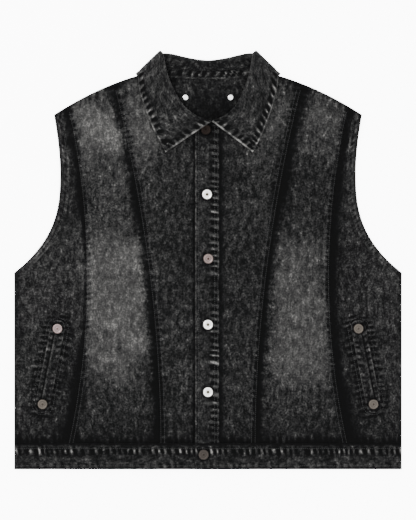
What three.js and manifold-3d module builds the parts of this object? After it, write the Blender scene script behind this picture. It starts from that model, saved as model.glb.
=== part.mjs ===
// A sleeveless denim vest with a shirt collar, buttoned up and laid flat on its back, front side up.
// Millimetres. From above, +X is to the right and +Y runs from the hem to the collar. +Z is up.
// Heights y are counted from the lower edge of the hem until the last lines centre the vest.
import * as THREE from "three";
import { mergeVertices } from "three/addons/utils/BufferGeometryUtils.js";
import Module from "manifold-3d";

const wasm = await Module();
wasm.setup();

// Cut of the body
const halfChest = 312;
const armpitY = 316.5;
const armholeWaist = { x: 238, y: 480 };
const shoulderTip = { x: 247.8, y: 571 };
const neckCorner = { x: 104, y: 636.2 };
const frontNeckY = 556;
const backNeckY = 628;
const hemBandHeight = 41.7;
const hemSeamY = 42;

// Cloth
const cloth = 1.4;
const band = 2.4;
const placketCloth = 2.0;
const collarCloth = 1.8;
const standCloth = 1.6;
const patchCloth = 1.3;
const leather = 1.4;
const air = 0.3; // clearance where one piece lies on another
const seamHalfGap = 0.15;
const foldHalfGap = 0.3;

// How the layers lie
const seamGap = 1.3;
const crownHeight = 2.2;
const foldGap = 3.2;
const hemGap = 2.0;
const armholeGap = 0.6;
const foldRadius = 3.0;
const seamRidge = { width: 8.5, foot: 11, height: 0.8 };
const armholeHem = { width: 9, foot: 11.5, height: 0.5 };

// Button stand
const placketEdgeX = 21;
const placketSeamX = 18;
const placketRise = { height: 2.5, from: 18, to: 75 };

// What lies under the back
const patch = { halfTop: 43.5, halfBottom: 40.5, low: 549, high: 604.5, from: 3, ramp: 90 };
const rivetHead = 0.9;
const patchLift = rivetHead + air + patchCloth + air;
const label = { left: -180, right: -115, low: 3, high: 41, from: 6, ramp: 65 };
const labelLift = leather + air;
const collarLift = { height: 2.4, from: 50, reach: 122, fade: 185 };

const buttonRadius = 8.5;
const shankRadius = 2.6;
const shankHole = 3.0;
const frontButtons = [
  { name: "button_1", x: -3.5, y: 546.5 },
  { name: "button_2", x: -1.5, y: 442.5 },
  { name: "button_3", x: 0.5, y: 339 },
  { name: "button_4", x: 0, y: 233 },
  { name: "button_5", x: 0, y: 124.5 },
];
const hemButton = { name: "button_6", x: -7, y: 24 };
const pocketTop = { x: 242, y: 226.5 };
const pocketFoot = { x: 266, y: 105 };
const welt = { halfWidth: 12, endOverhang: 14, thick: 1.6 };
const rivets = [
  { name: "rivet_1", x: -36.5, y: 598.5 },
  { name: "rivet_2", x: 36.5, y: 598.5 },
  { name: "rivet_3", x: -33, y: 559.5 },
  { name: "rivet_4", x: 33, y: 559.5 },
];
const rivetShank = 1.6;
const rivetHole = 1.95;

const denim = { color: 0x2b2b2c, roughness: 0.92, metalness: 0 };
const darkDenim = { color: 0x202021, roughness: 0.94, metalness: 0 };
const nickel = { color: 0xc9c4be, roughness: 0.3, metalness: 1 };
const tan = { color: 0xa8481c, roughness: 0.62, metalness: 0 };

const lerp = THREE.MathUtils.lerp;

function smooth(from, to, value) {
  return THREE.MathUtils.smoothstep(value, from, to);
}

// Outline and seams, each a distance from the centre line

function shoulderY(x) {
  const out = Math.min(Math.abs(x), shoulderTip.x) - neckCorner.x;
  return neckCorner.y - 0.26 * out - 0.00135 * out * out;
}

function frontNeckLine(x) {
  return frontNeckY + (neckCorner.y - frontNeckY) * (Math.abs(x) / neckCorner.x) ** 2.4;
}

function backNeckLine(x) {
  return backNeckY + (neckCorner.y - backNeckY) * (Math.abs(x) / neckCorner.x) ** 2;
}

function topEdge(x, neckLine) {
  return Math.abs(x) < neckCorner.x ? neckLine(x) : shoulderY(x);
}

function sideEdgeX(y) {
  if (y <= armpitY) return halfChest;
  if (y <= armholeWaist.y) {
    const up = (armholeWaist.y - y) / (armholeWaist.y - armpitY);
    return armholeWaist.x + (halfChest - armholeWaist.x) * up ** 2.8;
  }
  const up = (y - armholeWaist.y) / (shoulderTip.y - armholeWaist.y);
  return armholeWaist.x + (shoulderTip.x - armholeWaist.x) * up ** 1.6;
}

function frontInnerSeam(y) {
  return 78 + 72.7 * (Math.max(0, y - hemSeamY) / 569) ** 1.95;
}

function frontOuterSeam(y) {
  return 196 + 4.1e-4 * (y - 310) ** 2;
}

function backInnerSeam(y) {
  return 78 + 76 * (Math.max(0, y - hemSeamY) / 564) ** 1.6;
}

function backOuterSeam(y) {
  return 215.5 + 0.9e-4 * (y - 290) ** 2;
}

// Lower edge of the turned-down collar, where it lies under the back
function backCollarEdge(x) {
  return 625.5 + 6.5 * (x / 119) ** 2;
}

// Heights

// How far the cloth is held off the floor by the patch, the label and the collar under it
function lift(x, y) {
  const pastPatch = Math.hypot(
    Math.max(0, Math.abs(x) - patch.halfTop),
    Math.max(0, patch.low - y, y - patch.high),
  );
  const overPatch = patchLift * (1 - smooth(patch.from, patch.ramp, pastPatch));
  const pastLabel = Math.hypot(
    Math.max(0, label.left - x, x - label.right),
    Math.max(0, y - label.high),
  );
  const overLabel = labelLift * (1 - smooth(label.from, label.ramp, pastLabel));
  const overCollar =
    collarLift.height *
    smooth(-collarLift.from, -1, y - backCollarEdge(x)) *
    (1 - smooth(collarLift.reach, collarLift.fade, Math.abs(x)));
  return Math.max(overPatch, overLabel, overCollar);
}

// Free space between the back and the front, crowned between seams
function innerGap(x, y) {
  const out = Math.abs(x);
  const edges = [placketSeamX, frontInnerSeam(y), frontOuterSeam(y), sideEdgeX(y)];
  let gap = seamGap;
  let towardSide = 0;
  for (let k = 0; k < 3; k++) {
    if (out < edges[k] || out > edges[k + 1]) continue;
    const across = (out - edges[k]) / (edges[k + 1] - edges[k]);
    gap += crownHeight * 4 * across * (1 - across);
    if (k === 2) towardSide = smooth(0.3, 1, across);
  }
  gap = lerp(hemGap, gap, smooth(0, 30, y - hemSeamY));
  const edgeGap = lerp(foldGap, armholeGap, smooth(-6, 14, y - armpitY));
  gap = lerp(gap, edgeGap, out > edges[3] ? 1 : towardSide);
  const nearShoulder = 1 - smooth(4, 45, shoulderY(x) - y);
  return lerp(gap, foldGap, nearShoulder * smooth(96, 122, out));
}

// The overlapping front rides up on the button stand beside it
function overlapRise(x) {
  return x < 0 ? 0 : placketRise.height * (1 - smooth(placketRise.from, placketRise.to, x));
}

function stackHeight(x, y) {
  return cloth + innerGap(x, y) + overlapRise(x) + cloth;
}

function frontTop(x, y) {
  return lift(x, y) + stackHeight(x, y);
}

function underPlacketBottom(x, y) {
  return cloth + lift(x, y) + lerp(hemGap, seamGap, smooth(0, 30, y - hemSeamY));
}

function placketBottom(x, y) {
  return underPlacketBottom(x, y) + placketCloth + air;
}

function frontBandBottom(x, y, overlaps) {
  const rise = overlaps ? (band + air) * (1 - smooth(24, 80, x)) : 0;
  return lift(x, y) + band + 1.0 + rise;
}

// Solids

function signedVolume(position, index) {
  const [a, b, c] = [new THREE.Vector3(), new THREE.Vector3(), new THREE.Vector3()];
  let sum = 0;
  for (let i = 0; i < index.length; i += 3) {
    a.fromArray(position, index[i] * 3);
    b.fromArray(position, index[i + 1] * 3);
    c.fromArray(position, index[i + 2] * 3);
    sum += a.dot(b.cross(c)) / 6;
  }
  return sum;
}

// A closed wall between two grids of points with the same rows and columns
function wallGeometry(faceGrid, backGrid) {
  const rows = faceGrid.length;
  const columns = faceGrid[0].length;
  const count = rows * columns;
  const position = [faceGrid, backGrid].flat(2).flatMap((p) => [p.x, p.y, p.z]);
  const face = (i, j) => i * columns + j;
  const back = (i, j) => count + i * columns + j;
  const index = [];
  const quad = (a, b, c, d) => index.push(a, b, c, a, c, d);
  for (let i = 0; i < rows - 1; i++)
    for (let j = 0; j < columns - 1; j++) {
      quad(face(i, j), face(i, j + 1), face(i + 1, j + 1), face(i + 1, j));
      quad(back(i, j), back(i + 1, j), back(i + 1, j + 1), back(i, j + 1));
    }
  for (let i = 0; i < rows - 1; i++) {
    quad(face(i, 0), face(i + 1, 0), back(i + 1, 0), back(i, 0));
    quad(face(i + 1, columns - 1), face(i, columns - 1), back(i, columns - 1), back(i + 1, columns - 1));
  }
  for (let j = 0; j < columns - 1; j++) {
    quad(face(0, j + 1), face(0, j), back(0, j), back(0, j + 1));
    quad(face(rows - 1, j), face(rows - 1, j + 1), back(rows - 1, j + 1), back(rows - 1, j));
  }
  if (signedVolume(position, index) < 0) index.reverse();
  return new THREE.BufferGeometry()
    .setAttribute("position", new THREE.Float32BufferAttribute(position, 3))
    .setIndex(index);
}

function toManifold(geometry) {
  const bare = geometry.clone();
  bare.deleteAttribute("normal");
  bare.deleteAttribute("uv");
  const merged = mergeVertices(bare, 1e-3);
  return new wasm.Manifold(
    new wasm.Mesh({
      numProp: 3,
      vertProperties: new Float32Array(merged.attributes.position.array),
      triVerts: new Uint32Array(merged.index.array),
    }),
  );
}

function fromManifold(solid) {
  const mesh = solid.getMesh();
  return new THREE.BufferGeometry()
    .setAttribute("position", new THREE.BufferAttribute(mesh.vertProperties, 3))
    .setIndex(new THREE.BufferAttribute(mesh.triVerts, 1));
}

// The geometry with an upright round hole at each place
function pierced(geometry, places, radius) {
  let solid = toManifold(geometry);
  for (const place of places) {
    const drill = new THREE.CylinderGeometry(radius, radius, 60, 12)
      .rotateX(Math.PI / 2)
      .translate(place.x, place.y, 0);
    solid = solid.subtract(toManifold(drill));
  }
  return fromManifold(solid);
}

// A solid of revolution about an upright axis, from [radius, height] pairs
function turned(profile, segments) {
  const points = profile.map(([radius, height]) => new THREE.Vector2(radius, height));
  return new THREE.LatheGeometry(points, segments).rotateX(Math.PI / 2);
}

const vest = new THREE.Group();

function add(name, geometry, finish) {
  geometry.computeVertexNormals();
  const mesh = new THREE.Mesh(geometry, new THREE.MeshStandardMaterial(finish));
  mesh.name = name;
  vest.add(mesh);
  return mesh;
}

// Body panels

const foldAngles = [60, 30, 0].map(THREE.MathUtils.degToRad);
const foldInset = (angle) => foldRadius * (1 - Math.cos(angle));

// Columns run from the edge nearer the centre outwards. A column is a share of the width
// between the two margins, moved out by past, and it may be raised or lie on the side fold.
const ridgeColumns = [
  { share: 1, past: seamRidge.foot - seamRidge.width, raise: seamRidge.height },
  { share: 1, past: seamRidge.foot, raise: seamRidge.height },
];
const sideColumns = [
  { share: 1, past: armholeHem.foot - armholeHem.width, hem: true },
  { share: 1, past: armholeHem.foot - foldRadius, hem: true },
  ...foldAngles.map((angle) => ({
    share: 1,
    past: armholeHem.foot - foldInset(angle),
    hem: true,
    angle,
  })),
];

function shares(list) {
  return list.map((share) => ({ share, past: 0 }));
}

function rowsUpTo(count) {
  const rows = [];
  for (let i = 0; i <= count; i++) rows.push({ share: i / count, inset: foldRadius });
  for (const angle of foldAngles) rows.push({ share: 1, inset: foldInset(angle), angle });
  return rows;
}

// One panel of the front or the back. Its edges are functions of y, its top one of x.
function panelGeometry({ edgeA, edgeB, margin, columns, rows, neckLine, sign, isFront }) {
  const grids = [[], []];
  for (const row of rows) {
    const lines = [[], []];
    for (const column of columns) {
      let y = lerp(hemSeamY, 580, row.share);
      let x = 0;
      for (let pass = 0; pass < 8; pass++) {
        const a = edgeA(y);
        x = lerp(a, edgeB(y) - margin, column.share) + column.past;
        const top = topEdge(x, neckLine) - seamHalfGap * (Math.abs(x) < neckCorner.x ? 1 : 0);
        y = lerp(hemSeamY, top - foldRadius, row.share) + (foldRadius - row.inset);
      }
      const onSide = column.angle === undefined ? 0 : 1 - smooth(-8, 0, y - armpitY);
      const onShoulder = row.angle === undefined ? 0 : smooth(98, 110, Math.abs(x));
      const sideSine = column.angle === undefined ? 1 : Math.sin(column.angle);
      const shoulderSine = row.angle === undefined ? 1 : Math.sin(row.angle);
      const spread = (1 - onSide * (1 - sideSine)) * (1 - onShoulder * (1 - shoulderSine));
      const base = lift(sign * x, y);
      const outerRadius = stackHeight(sign * x, y) / 2;
      const middle = base + outerRadius;
      const sideCosine = column.angle === undefined ? 1 : Math.cos(column.angle);
      const shoulderCosine = row.angle === undefined ? 1 : Math.cos(row.angle);
      let raise = isFront ? (column.raise ?? 0) : 0;
      if (isFront && column.hem) raise = armholeHem.height * smooth(0, 12, y - armpitY);
      for (const side of [0, 1]) {
        const radius = outerRadius - side * cloth;
        const rise = Math.max(radius * spread, foldHalfGap);
        const z = isFront ? middle + rise + (side ? 0 : raise * spread) : middle - rise;
        lines[side].push(
          new THREE.Vector3(
            sign * (x - side * onSide * cloth * sideCosine),
            y - side * onShoulder * cloth * shoulderCosine,
            z,
          ),
        );
      }
    }
    grids[0].push(lines[0]);
    grids[1].push(lines[1]);
  }
  return wallGeometry(grids[0], grids[1]);
}

const shrink = (edge, by) => (y) => edge(y) + by;

function addBodyPanels() {
  for (const [side, sign] of [["right", -1], ["left", 1]]) {
    const shared = { sign, isFront: true, neckLine: frontNeckLine };
    add(
      `front_centre_${side}`,
      panelGeometry({
        ...shared,
        edgeA: () => placketSeamX + seamHalfGap,
        edgeB: shrink(frontInnerSeam, -seamHalfGap),
        margin: seamRidge.foot,
        columns: [...shares([0, 0.12, 0.24, 0.37, 0.49, 0.61, 0.73, 0.86, 1]), ...ridgeColumns],
        rows: rowsUpTo(18),
      }),
      denim,
    );
    add(
      `front_middle_${side}`,
      panelGeometry({
        ...shared,
        edgeA: shrink(frontInnerSeam, seamHalfGap),
        edgeB: shrink(frontOuterSeam, -seamHalfGap),
        margin: seamRidge.foot,
        columns: [...shares([0, 0.25, 0.5, 0.75, 1]), ...ridgeColumns],
        rows: rowsUpTo(18),
      }),
      denim,
    );
    add(
      `front_side_${side}`,
      panelGeometry({
        ...shared,
        edgeA: shrink(frontOuterSeam, seamHalfGap),
        edgeB: sideEdgeX,
        margin: armholeHem.foot,
        columns: [...shares([0, 0.33, 0.67, 1]), ...sideColumns],
        rows: rowsUpTo(27),
      }),
      darkDenim,
    );
    const plain = { sign, isFront: false, neckLine: backNeckLine };
    add(
      `back_middle_${side}`,
      panelGeometry({
        ...plain,
        edgeA: shrink(backInnerSeam, seamHalfGap),
        edgeB: shrink(backOuterSeam, -seamHalfGap),
        margin: 0,
        columns: shares([0, 0.33, 0.67, 1]),
        rows: rowsUpTo(15),
      }),
      denim,
    );
    add(
      `back_side_${side}`,
      panelGeometry({
        ...plain,
        edgeA: shrink(backOuterSeam, seamHalfGap),
        edgeB: sideEdgeX,
        margin: armholeHem.foot,
        columns: [...shares([0, 0.5, 1]), ...sideColumns.slice(1)],
        rows: rowsUpTo(27),
      }),
      darkDenim,
    );
  }
  const acrossBack = [-1, -0.68, -0.5, -0.36, -0.2, 0, 0.2, 0.36, 0.5, 0.68, 1];
  const centreBack = panelGeometry({
    sign: 1,
    isFront: false,
    neckLine: backNeckLine,
    edgeA: (y) => -backInnerSeam(y) + seamHalfGap,
    edgeB: shrink(backInnerSeam, -seamHalfGap),
    margin: 0,
    columns: shares(acrossBack.map((across) => (1 + across) / 2)),
    rows: rowsUpTo(30),
  });
  add("back_centre", pierced(centreBack, rivets, rivetHole), denim);
}

// A flat strip between two edges of y and two of x, on a floor given as a function
function stripGeometry({ left, right, low, high, across, along, bottom, thick }) {
  const grids = [[], []];
  for (let i = 0; i <= along; i++) {
    const lines = [[], []];
    for (let j = 0; j <= across; j++) {
      const x = lerp(left, right, j / across);
      const y = lerp(low, typeof high === "function" ? high(x) : high, i / along);
      const z = bottom(x, y);
      lines[0].push(new THREE.Vector3(x, y, z + thick));
      lines[1].push(new THREE.Vector3(x, y, z));
    }
    grids[0].push(lines[0]);
    grids[1].push(lines[1]);
  }
  return wallGeometry(grids[0], grids[1]);
}

function addButtonStand() {
  const tall = { low: hemSeamY, high: frontNeckY - seamHalfGap, along: 30, thick: placketCloth };
  add(
    "button_band_under",
    stripGeometry({
      ...tall,
      left: -placketSeamX + seamHalfGap,
      right: placketEdgeX,
      across: 2,
      bottom: underPlacketBottom,
    }),
    darkDenim,
  );
  const top = stripGeometry({
    ...tall,
    left: -placketEdgeX,
    right: placketSeamX - seamHalfGap,
    across: 3,
    bottom: placketBottom,
  });
  add("placket", pierced(top, frontButtons, shankHole), denim);
}

// Hem band: two front pieces and one back piece, closed at the side folds
function bandGeometry({ sign, from, overlaps }) {
  const low = 0;
  const places = [];
  for (let i = 0; i <= 16; i++) {
    const x = lerp(from, halfChest - foldRadius, i / 16);
    places.push({ x, angle: Math.PI / 2 });
  }
  for (const angle of foldAngles) places.push({ x: halfChest - foldInset(angle), angle });
  const grids = [[], []];
  for (const { x, angle } of places) {
    const lines = [[], []];
    for (let j = 0; j <= 2; j++) {
      const y = lerp(low, hemBandHeight, j / 2);
      const top = frontBandBottom(sign * x, y, overlaps) + band;
      const middle = (top + lift(sign * x, y)) / 2;
      const outerRadius = top - middle;
      for (const side of [0, 1]) {
        const radius = outerRadius - side * band;
        const z = middle + Math.max(radius * Math.sin(angle), seamHalfGap);
        const inward = side * band * Math.cos(angle);
        lines[side].push(new THREE.Vector3(sign * (x - inward), y, z));
      }
    }
    grids[0].push(lines[0]);
    grids[1].push(lines[1]);
  }
  return wallGeometry(grids[0], grids[1]);
}

function backBandGeometry() {
  const places = [];
  for (const angle of [...foldAngles].reverse()) places.push({ x: foldInset(angle) - halfChest, angle });
  for (let i = 0; i <= 26; i++) {
    const x = lerp(foldRadius - halfChest, halfChest - foldRadius, i / 26);
    places.push({ x, angle: Math.PI / 2 });
  }
  for (const angle of foldAngles) places.push({ x: halfChest - foldInset(angle), angle });
  const grids = [[], []];
  for (const { x, angle } of places) {
    const lines = [[], []];
    for (let j = 0; j <= 2; j++) {
      const y = lerp(0, hemBandHeight, j / 2);
      const base = lift(x, y);
      const outerRadius = (frontBandBottom(Math.min(x, 0) || x, y, false) + band - base) / 2;
      for (const side of [0, 1]) {
        const radius = outerRadius - side * band;
        const z = base + outerRadius - Math.max(radius * Math.sin(angle), seamHalfGap);
        const inward = Math.sign(x) * side * band * Math.cos(angle);
        lines[side].push(new THREE.Vector3(x - inward, y, z));
      }
    }
    grids[0].push(lines[0]);
    grids[1].push(lines[1]);
  }
  return wallGeometry(grids[0], grids[1]);
}

function addHemBand() {
  add("hem_band_right", bandGeometry({ sign: -1, from: -placketEdgeX, overlaps: false }), denim);
  const left = bandGeometry({ sign: 1, from: -placketEdgeX, overlaps: true });
  add("hem_band_left", pierced(left, [hemButton], shankHole), denim);
  add("hem_band_back", backBandGeometry(), denim);
}

// Collar. Each section has the neck seam N, the seam between stand and fall S, the roll R
// and the outer edge E. One row for each station from the side fold to the front end.
const collarRoll = 1.7;
const rollReach = collarRoll + collarCloth / 2;
const collarRest = air + collarCloth / 2 + 0.5;
const collarMeet = { roll: 6, point: 2, seam: 1.2 }; // the closed front sits a little to the left front's side
const collarFront = [
  { neckX: 101.5, rollX: 73.8, rollY: 667.9, rollZ: 10.3, edgeX: 113.5, edgeY: 633 },
  { neckX: 96, rollX: 70.5, rollY: 649.5, rollZ: 10.6, edgeX: 110.5, edgeY: 609 },
  { neckX: 86, rollX: 65.5, rollY: 628.8, rollZ: 10.8, edgeX: 104, edgeY: 586 },
  { neckX: 70, rollX: 55.4, rollY: 603.8, rollZ: 11, edgeX: 97, edgeY: 567 },
  { neckX: 47, rollX: 42.6, rollY: 583, rollZ: 11.2, edgeX: 89.5, edgeY: 548 },
  { neckX: 22, rollX: 24.0, rollY: 567.5, rollZ: 11.8, edgeX: 80, edgeY: 528 },
  { neckX: 3, rollX: 1.2, rollY: 558.6, rollZ: 12.6, edgeX: 70, edgeY: 510 },
];
const collarFold = {
  normal: new THREE.Vector3(0.716, 0.698, 0),
  neck: { centre: new THREE.Vector3(101.5, 634.5, 5.4), radius: 2.2 },
  roll: { centre: new THREE.Vector3(73.8, 667.9, 7.3), radius: 3.0 },
  edge: { centre: new THREE.Vector3(113.5, 633, 5.35), radius: 4.4 },
};
const standShare = 0.45;
const backCollar = { topY: 658.5, topRise: 15.3, halfTop: 80, seamZ: 3.3, rollZ: 4.3, flatZ: 0.95 };

// Smooth curve through the stations, one column at a time
function station(t, key) {
  const last = collarFront.length - 1;
  const place = THREE.MathUtils.clamp(t * last, 0, last);
  const i = Math.min(Math.floor(place), last - 1);
  const value = (k) => {
    if (k < 0) return 2 * collarFront[0][key] - collarFront[1][key];
    if (k > last) return 2 * collarFront[last][key] - collarFront[last - 1][key];
    return collarFront[k][key];
  };
  const f = place - i;
  const [a, b, c, d] = [value(i - 1), value(i), value(i + 1), value(i + 2)];
  return b + 0.5 * f * (c - a + f * (2 * a - 5 * b + 4 * c - d + f * (3 * (b - c) + d - a)));
}

// The three lines of the collar on one side, from the middle of the back (t = -1) over the
// side fold (t = 0 with an angle) to the front end (t = 1)
function collarSection(sign, place) {
  const { kind, t, angle } = place;
  const section = {};
  if (kind === "back") {
    const x = lerp(0, collarFold.roll.centre.x, t);
    const topY = backCollar.topY + backCollar.topRise * (x / backCollar.halfTop) ** 1.4;
    const foldTop = collarFold.roll.centre.y;
    section.roll = new THREE.Vector3(x, lerp(topY - rollReach, foldTop, t ** 4), backCollar.rollZ);
    const neckX = lerp(0, collarFold.neck.centre.x, t);
    section.neck = new THREE.Vector3(
      neckX,
      lerp(backNeckLine(neckX) + seamHalfGap, collarFold.neck.centre.y, t ** 6),
      lerp(backCollar.seamZ, collarFold.neck.centre.z - collarFold.neck.radius, t),
    );
    const edgeX = lerp(0, collarFold.edge.centre.x, t);
    section.edge = new THREE.Vector3(
      edgeX,
      lerp(backCollarEdge(edgeX), collarFold.edge.centre.y, t ** 4),
      backCollar.flatZ,
    );
    section.out = new THREE.Vector3(0, 0, -1);
  } else if (kind === "fold") {
    section.out = collarFold.normal
      .clone()
      .multiplyScalar(Math.cos(angle))
      .add(new THREE.Vector3(0, 0, Math.sin(angle)));
    for (const key of ["neck", "roll", "edge"])
      section[key] = collarFold[key].centre.clone().addScaledVector(section.out, collarFold[key].radius);
  } else {
    const neckX = station(t, "neckX") + sign * collarMeet.roll * t * t;
    section.neck = new THREE.Vector3(neckX, frontNeckLine(neckX) + collarMeet.seam, 0);
    const neckZ = frontTop(sign * neckX, section.neck.y - 1) - cloth / 2;
    section.neck.z = lerp(collarFold.neck.centre.z + collarFold.neck.radius, neckZ, smooth(0, 0.2, t));
    section.roll = new THREE.Vector3(station(t, "rollX"), station(t, "rollY"), station(t, "rollZ"));
    section.edge = new THREE.Vector3(station(t, "edgeX"), station(t, "edgeY"), 0);
    section.out = new THREE.Vector3(0, 0, 1);
  }
  for (const key of ["neck", "roll", "edge", "out"]) section[key].x *= sign;
  if (kind === "front") {
    section.roll.x += collarMeet.roll * t * t;
    section.edge.x += collarMeet.point * t;
    const rest = frontTop(section.edge.x, section.edge.y) + collarRest;
    const foldZ = collarFold.edge.centre.z + collarFold.edge.radius;
    section.edge.z = lerp(foldZ, rest, smooth(0, 0.17, t));
  }
  return section;
}

// Places of the sections from the front end of the right leaf, round the back, to the left one
function collarPlaces() {
  const half = [];
  for (let i = 1; i <= 4; i++) half.push({ kind: "back", t: i / 4 });
  for (const angle of [-60, -30, 0, 30, 60]) half.push({ kind: "fold", angle: THREE.MathUtils.degToRad(angle) });
  for (let i = 0; i <= 9; i++) half.push({ kind: "front", t: i / 9 });
  return [
    ...half.toReversed().map((place) => collarSection(-1, place)),
    collarSection(1, { kind: "back", t: 0 }),
    ...half.map((place) => collarSection(1, place)),
  ];
}

// Middle lines of one section: the stand from N to S, and the fall from S over the roll to E
function collarSeam({ neck, roll }, offset) {
  const along = roll.clone().sub(neck).normalize();
  return neck.clone().lerp(roll, standShare).addScaledVector(along, offset);
}

function standLine(section) {
  const seam = collarSeam(section, -foldHalfGap);
  return [0, 0.5, 1].map((share) => section.neck.clone().lerp(seam, share));
}

function fallLine(section) {
  const { neck, roll, edge, out } = section;
  const seam = collarSeam(section, foldHalfGap);
  const along = roll.clone().sub(neck).normalize();
  const line = [seam, seam.clone().lerp(roll, 0.5), roll.clone()];
  for (const turn of [45, 90, 135].map(THREE.MathUtils.degToRad))
    line.push(
      roll
        .clone()
        .addScaledVector(along, collarRoll * Math.sin(turn))
        .addScaledVector(out, collarRoll * (1 - Math.cos(turn))),
    );
  const start = roll.clone().addScaledVector(out, 2 * collarRoll);
  line.push(start);
  for (const share of [0.25, 0.5, 0.75, 1]) {
    const point = start.clone().lerp(edge, share);
    if (out.z > 0.99) {
      const bulge = 1.2 * Math.sin(Math.PI * share);
      const rest = frontTop(point.x, point.y) + collarRest;
      point.z = Math.max(point.z + bulge, rest);
    }
    line.push(point);
  }
  return line;
}

// A wall of even thickness about a grid of middle points
function shellGeometry(middle, thick) {
  const rows = middle.length;
  const columns = middle[0].length;
  const grids = [[], []];
  for (let i = 0; i < rows; i++) {
    const lines = [[], []];
    for (let j = 0; j < columns; j++) {
      const along = middle[Math.min(i + 1, rows - 1)][j].clone().sub(middle[Math.max(i - 1, 0)][j]);
      const across = middle[i][Math.min(j + 1, columns - 1)].clone().sub(middle[i][Math.max(j - 1, 0)]);
      const normal = along.cross(across).normalize();
      lines[0].push(middle[i][j].clone().addScaledVector(normal, thick / 2));
      lines[1].push(middle[i][j].clone().addScaledVector(normal, -thick / 2));
    }
    grids[0].push(lines[0]);
    grids[1].push(lines[1]);
  }
  return wallGeometry(grids[0], grids[1]);
}

function addCollar() {
  const sections = collarPlaces();
  add("collar_stand", shellGeometry(sections.map(standLine), standCloth), darkDenim);
  add("collar_fall", shellGeometry(sections.map(fallLine), collarCloth), denim);
}

// Slanted pocket welts on the side panels

function addPockets() {
  const slant = new THREE.Vector2(pocketTop.x - pocketFoot.x, pocketTop.y - pocketFoot.y);
  const reach = slant.length();
  const along = slant.clone().normalize();
  const across = new THREE.Vector2(along.y, -along.x);
  const rows = 14;
  for (const [side, sign] of [["right", -1], ["left", 1]]) {
    const grids = [[], []];
    for (let i = 0; i <= rows; i++) {
      const place = lerp(-welt.endOverhang, reach + welt.endOverhang, i / rows);
      const past = Math.max(0, -place, place - reach);
      const half = welt.halfWidth * Math.sqrt(1 - 0.9 * (past / welt.endOverhang) ** 2);
      const lines = [[], []];
      for (let j = 0; j <= 4; j++) {
        const off = lerp(-half, half, j / 4);
        const x = sign * (pocketFoot.x + along.x * place + across.x * off);
        const y = pocketFoot.y + along.y * place + across.y * off;
        const z = frontTop(x, y) + air;
        lines[0].push(new THREE.Vector3(x, y, z + welt.thick));
        lines[1].push(new THREE.Vector3(x, y, z));
      }
      grids[0].push(lines[0]);
      grids[1].push(lines[1]);
    }
    const ends = [pocketTop, pocketFoot].map(({ x, y }) => ({ x: sign * x, y }));
    const strip = wallGeometry(grids[0], grids[1]);
    add(`pocket_welt_${side}`, pierced(strip, ends, shankHole), denim);
    ends.forEach((end, k) => {
      const panel = frontTop(end.x, end.y) + air;
      addButton(`pocket_button_${side}_${k + 1}`, end, panel, panel + welt.thick + air);
    });
  }
}

// Domed tack button with a rim, a dished face and a centre pin, on a shank down to its seat
function addButton(name, { x, y }, seat, faceBottom) {
  const h = faceBottom - seat;
  const profile = [
    [0, 0],
    [shankRadius, 0],
    [shankRadius, h],
    [buttonRadius - 0.9, h],
    [buttonRadius, h + 0.9],
    [buttonRadius - 0.6, h + 2.0],
    [buttonRadius - 2.2, h + 2.4],
    [buttonRadius - 3.6, h + 1.7],
    [1.6, h + 1.7],
    [0, h + 2.3],
  ];
  const mesh = add(name, turned(profile, 12), nickel);
  mesh.position.set(x, y, seat);
}

function addFrontButtons() {
  for (const button of frontButtons) {
    const { x, y } = button;
    const top = placketBottom(x, y) + placketCloth + air;
    addButton(button.name, button, underPlacketBottom(x, y) + placketCloth + air, top);
  }
  const { x, y } = hemButton;
  const seat = frontBandBottom(x, y, false) + band + air;
  addButton(hemButton.name, hemButton, seat, frontBandBottom(x, y, true) + band + air);
}

// Patch with four rivets and the leather label, on the outside of the back

function addBackTrim() {
  const rows = [patch.low, lerp(patch.low, patch.high, 0.5), patch.high];
  const grids = [[], []];
  for (const y of rows) {
    const half = lerp(patch.halfBottom, patch.halfTop, (y - patch.low) / (patch.high - patch.low));
    const line = [-1, -0.5, 0, 0.5, 1].map((side) => side * half);
    grids[0].push(line.map((x) => new THREE.Vector3(x, y, rivetHead + air + patchCloth)));
    grids[1].push(line.map((x) => new THREE.Vector3(x, y, rivetHead + air)));
  }
  add("back_patch", pierced(wallGeometry(grids[0], grids[1]), rivets, rivetHole), darkDenim);
  const capZ = patchLift + cloth + air;
  const profile = [
    [0, 0],
    [3.4, 0],
    [5, rivetHead * 0.6],
    [5, rivetHead],
    [rivetShank, rivetHead],
    [rivetShank, capZ],
    [4.4, capZ],
    [4.4, capZ + 0.5],
    [2.6, capZ + 1.1],
    [0, capZ + 1.2],
  ];
  for (const { name, x, y } of rivets) add(name, turned(profile, 12), nickel).position.set(x, y, 0);
  const tag = new THREE.BoxGeometry(label.right - label.left, label.high - label.low, leather);
  const centre = [(label.left + label.right) / 2, (label.low + label.high) / 2, leather / 2];
  add("leather_label", tag, tan).position.set(...centre);
}

addBodyPanels();
addButtonStand();
addHemBand();
addCollar();
addPockets();
addFrontButtons();
addBackTrim();

const bounds = new THREE.Box3().setFromObject(vest);
vest.position.set(0, -(bounds.min.y + bounds.max.y) / 2, 0);

export default vest;
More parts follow.
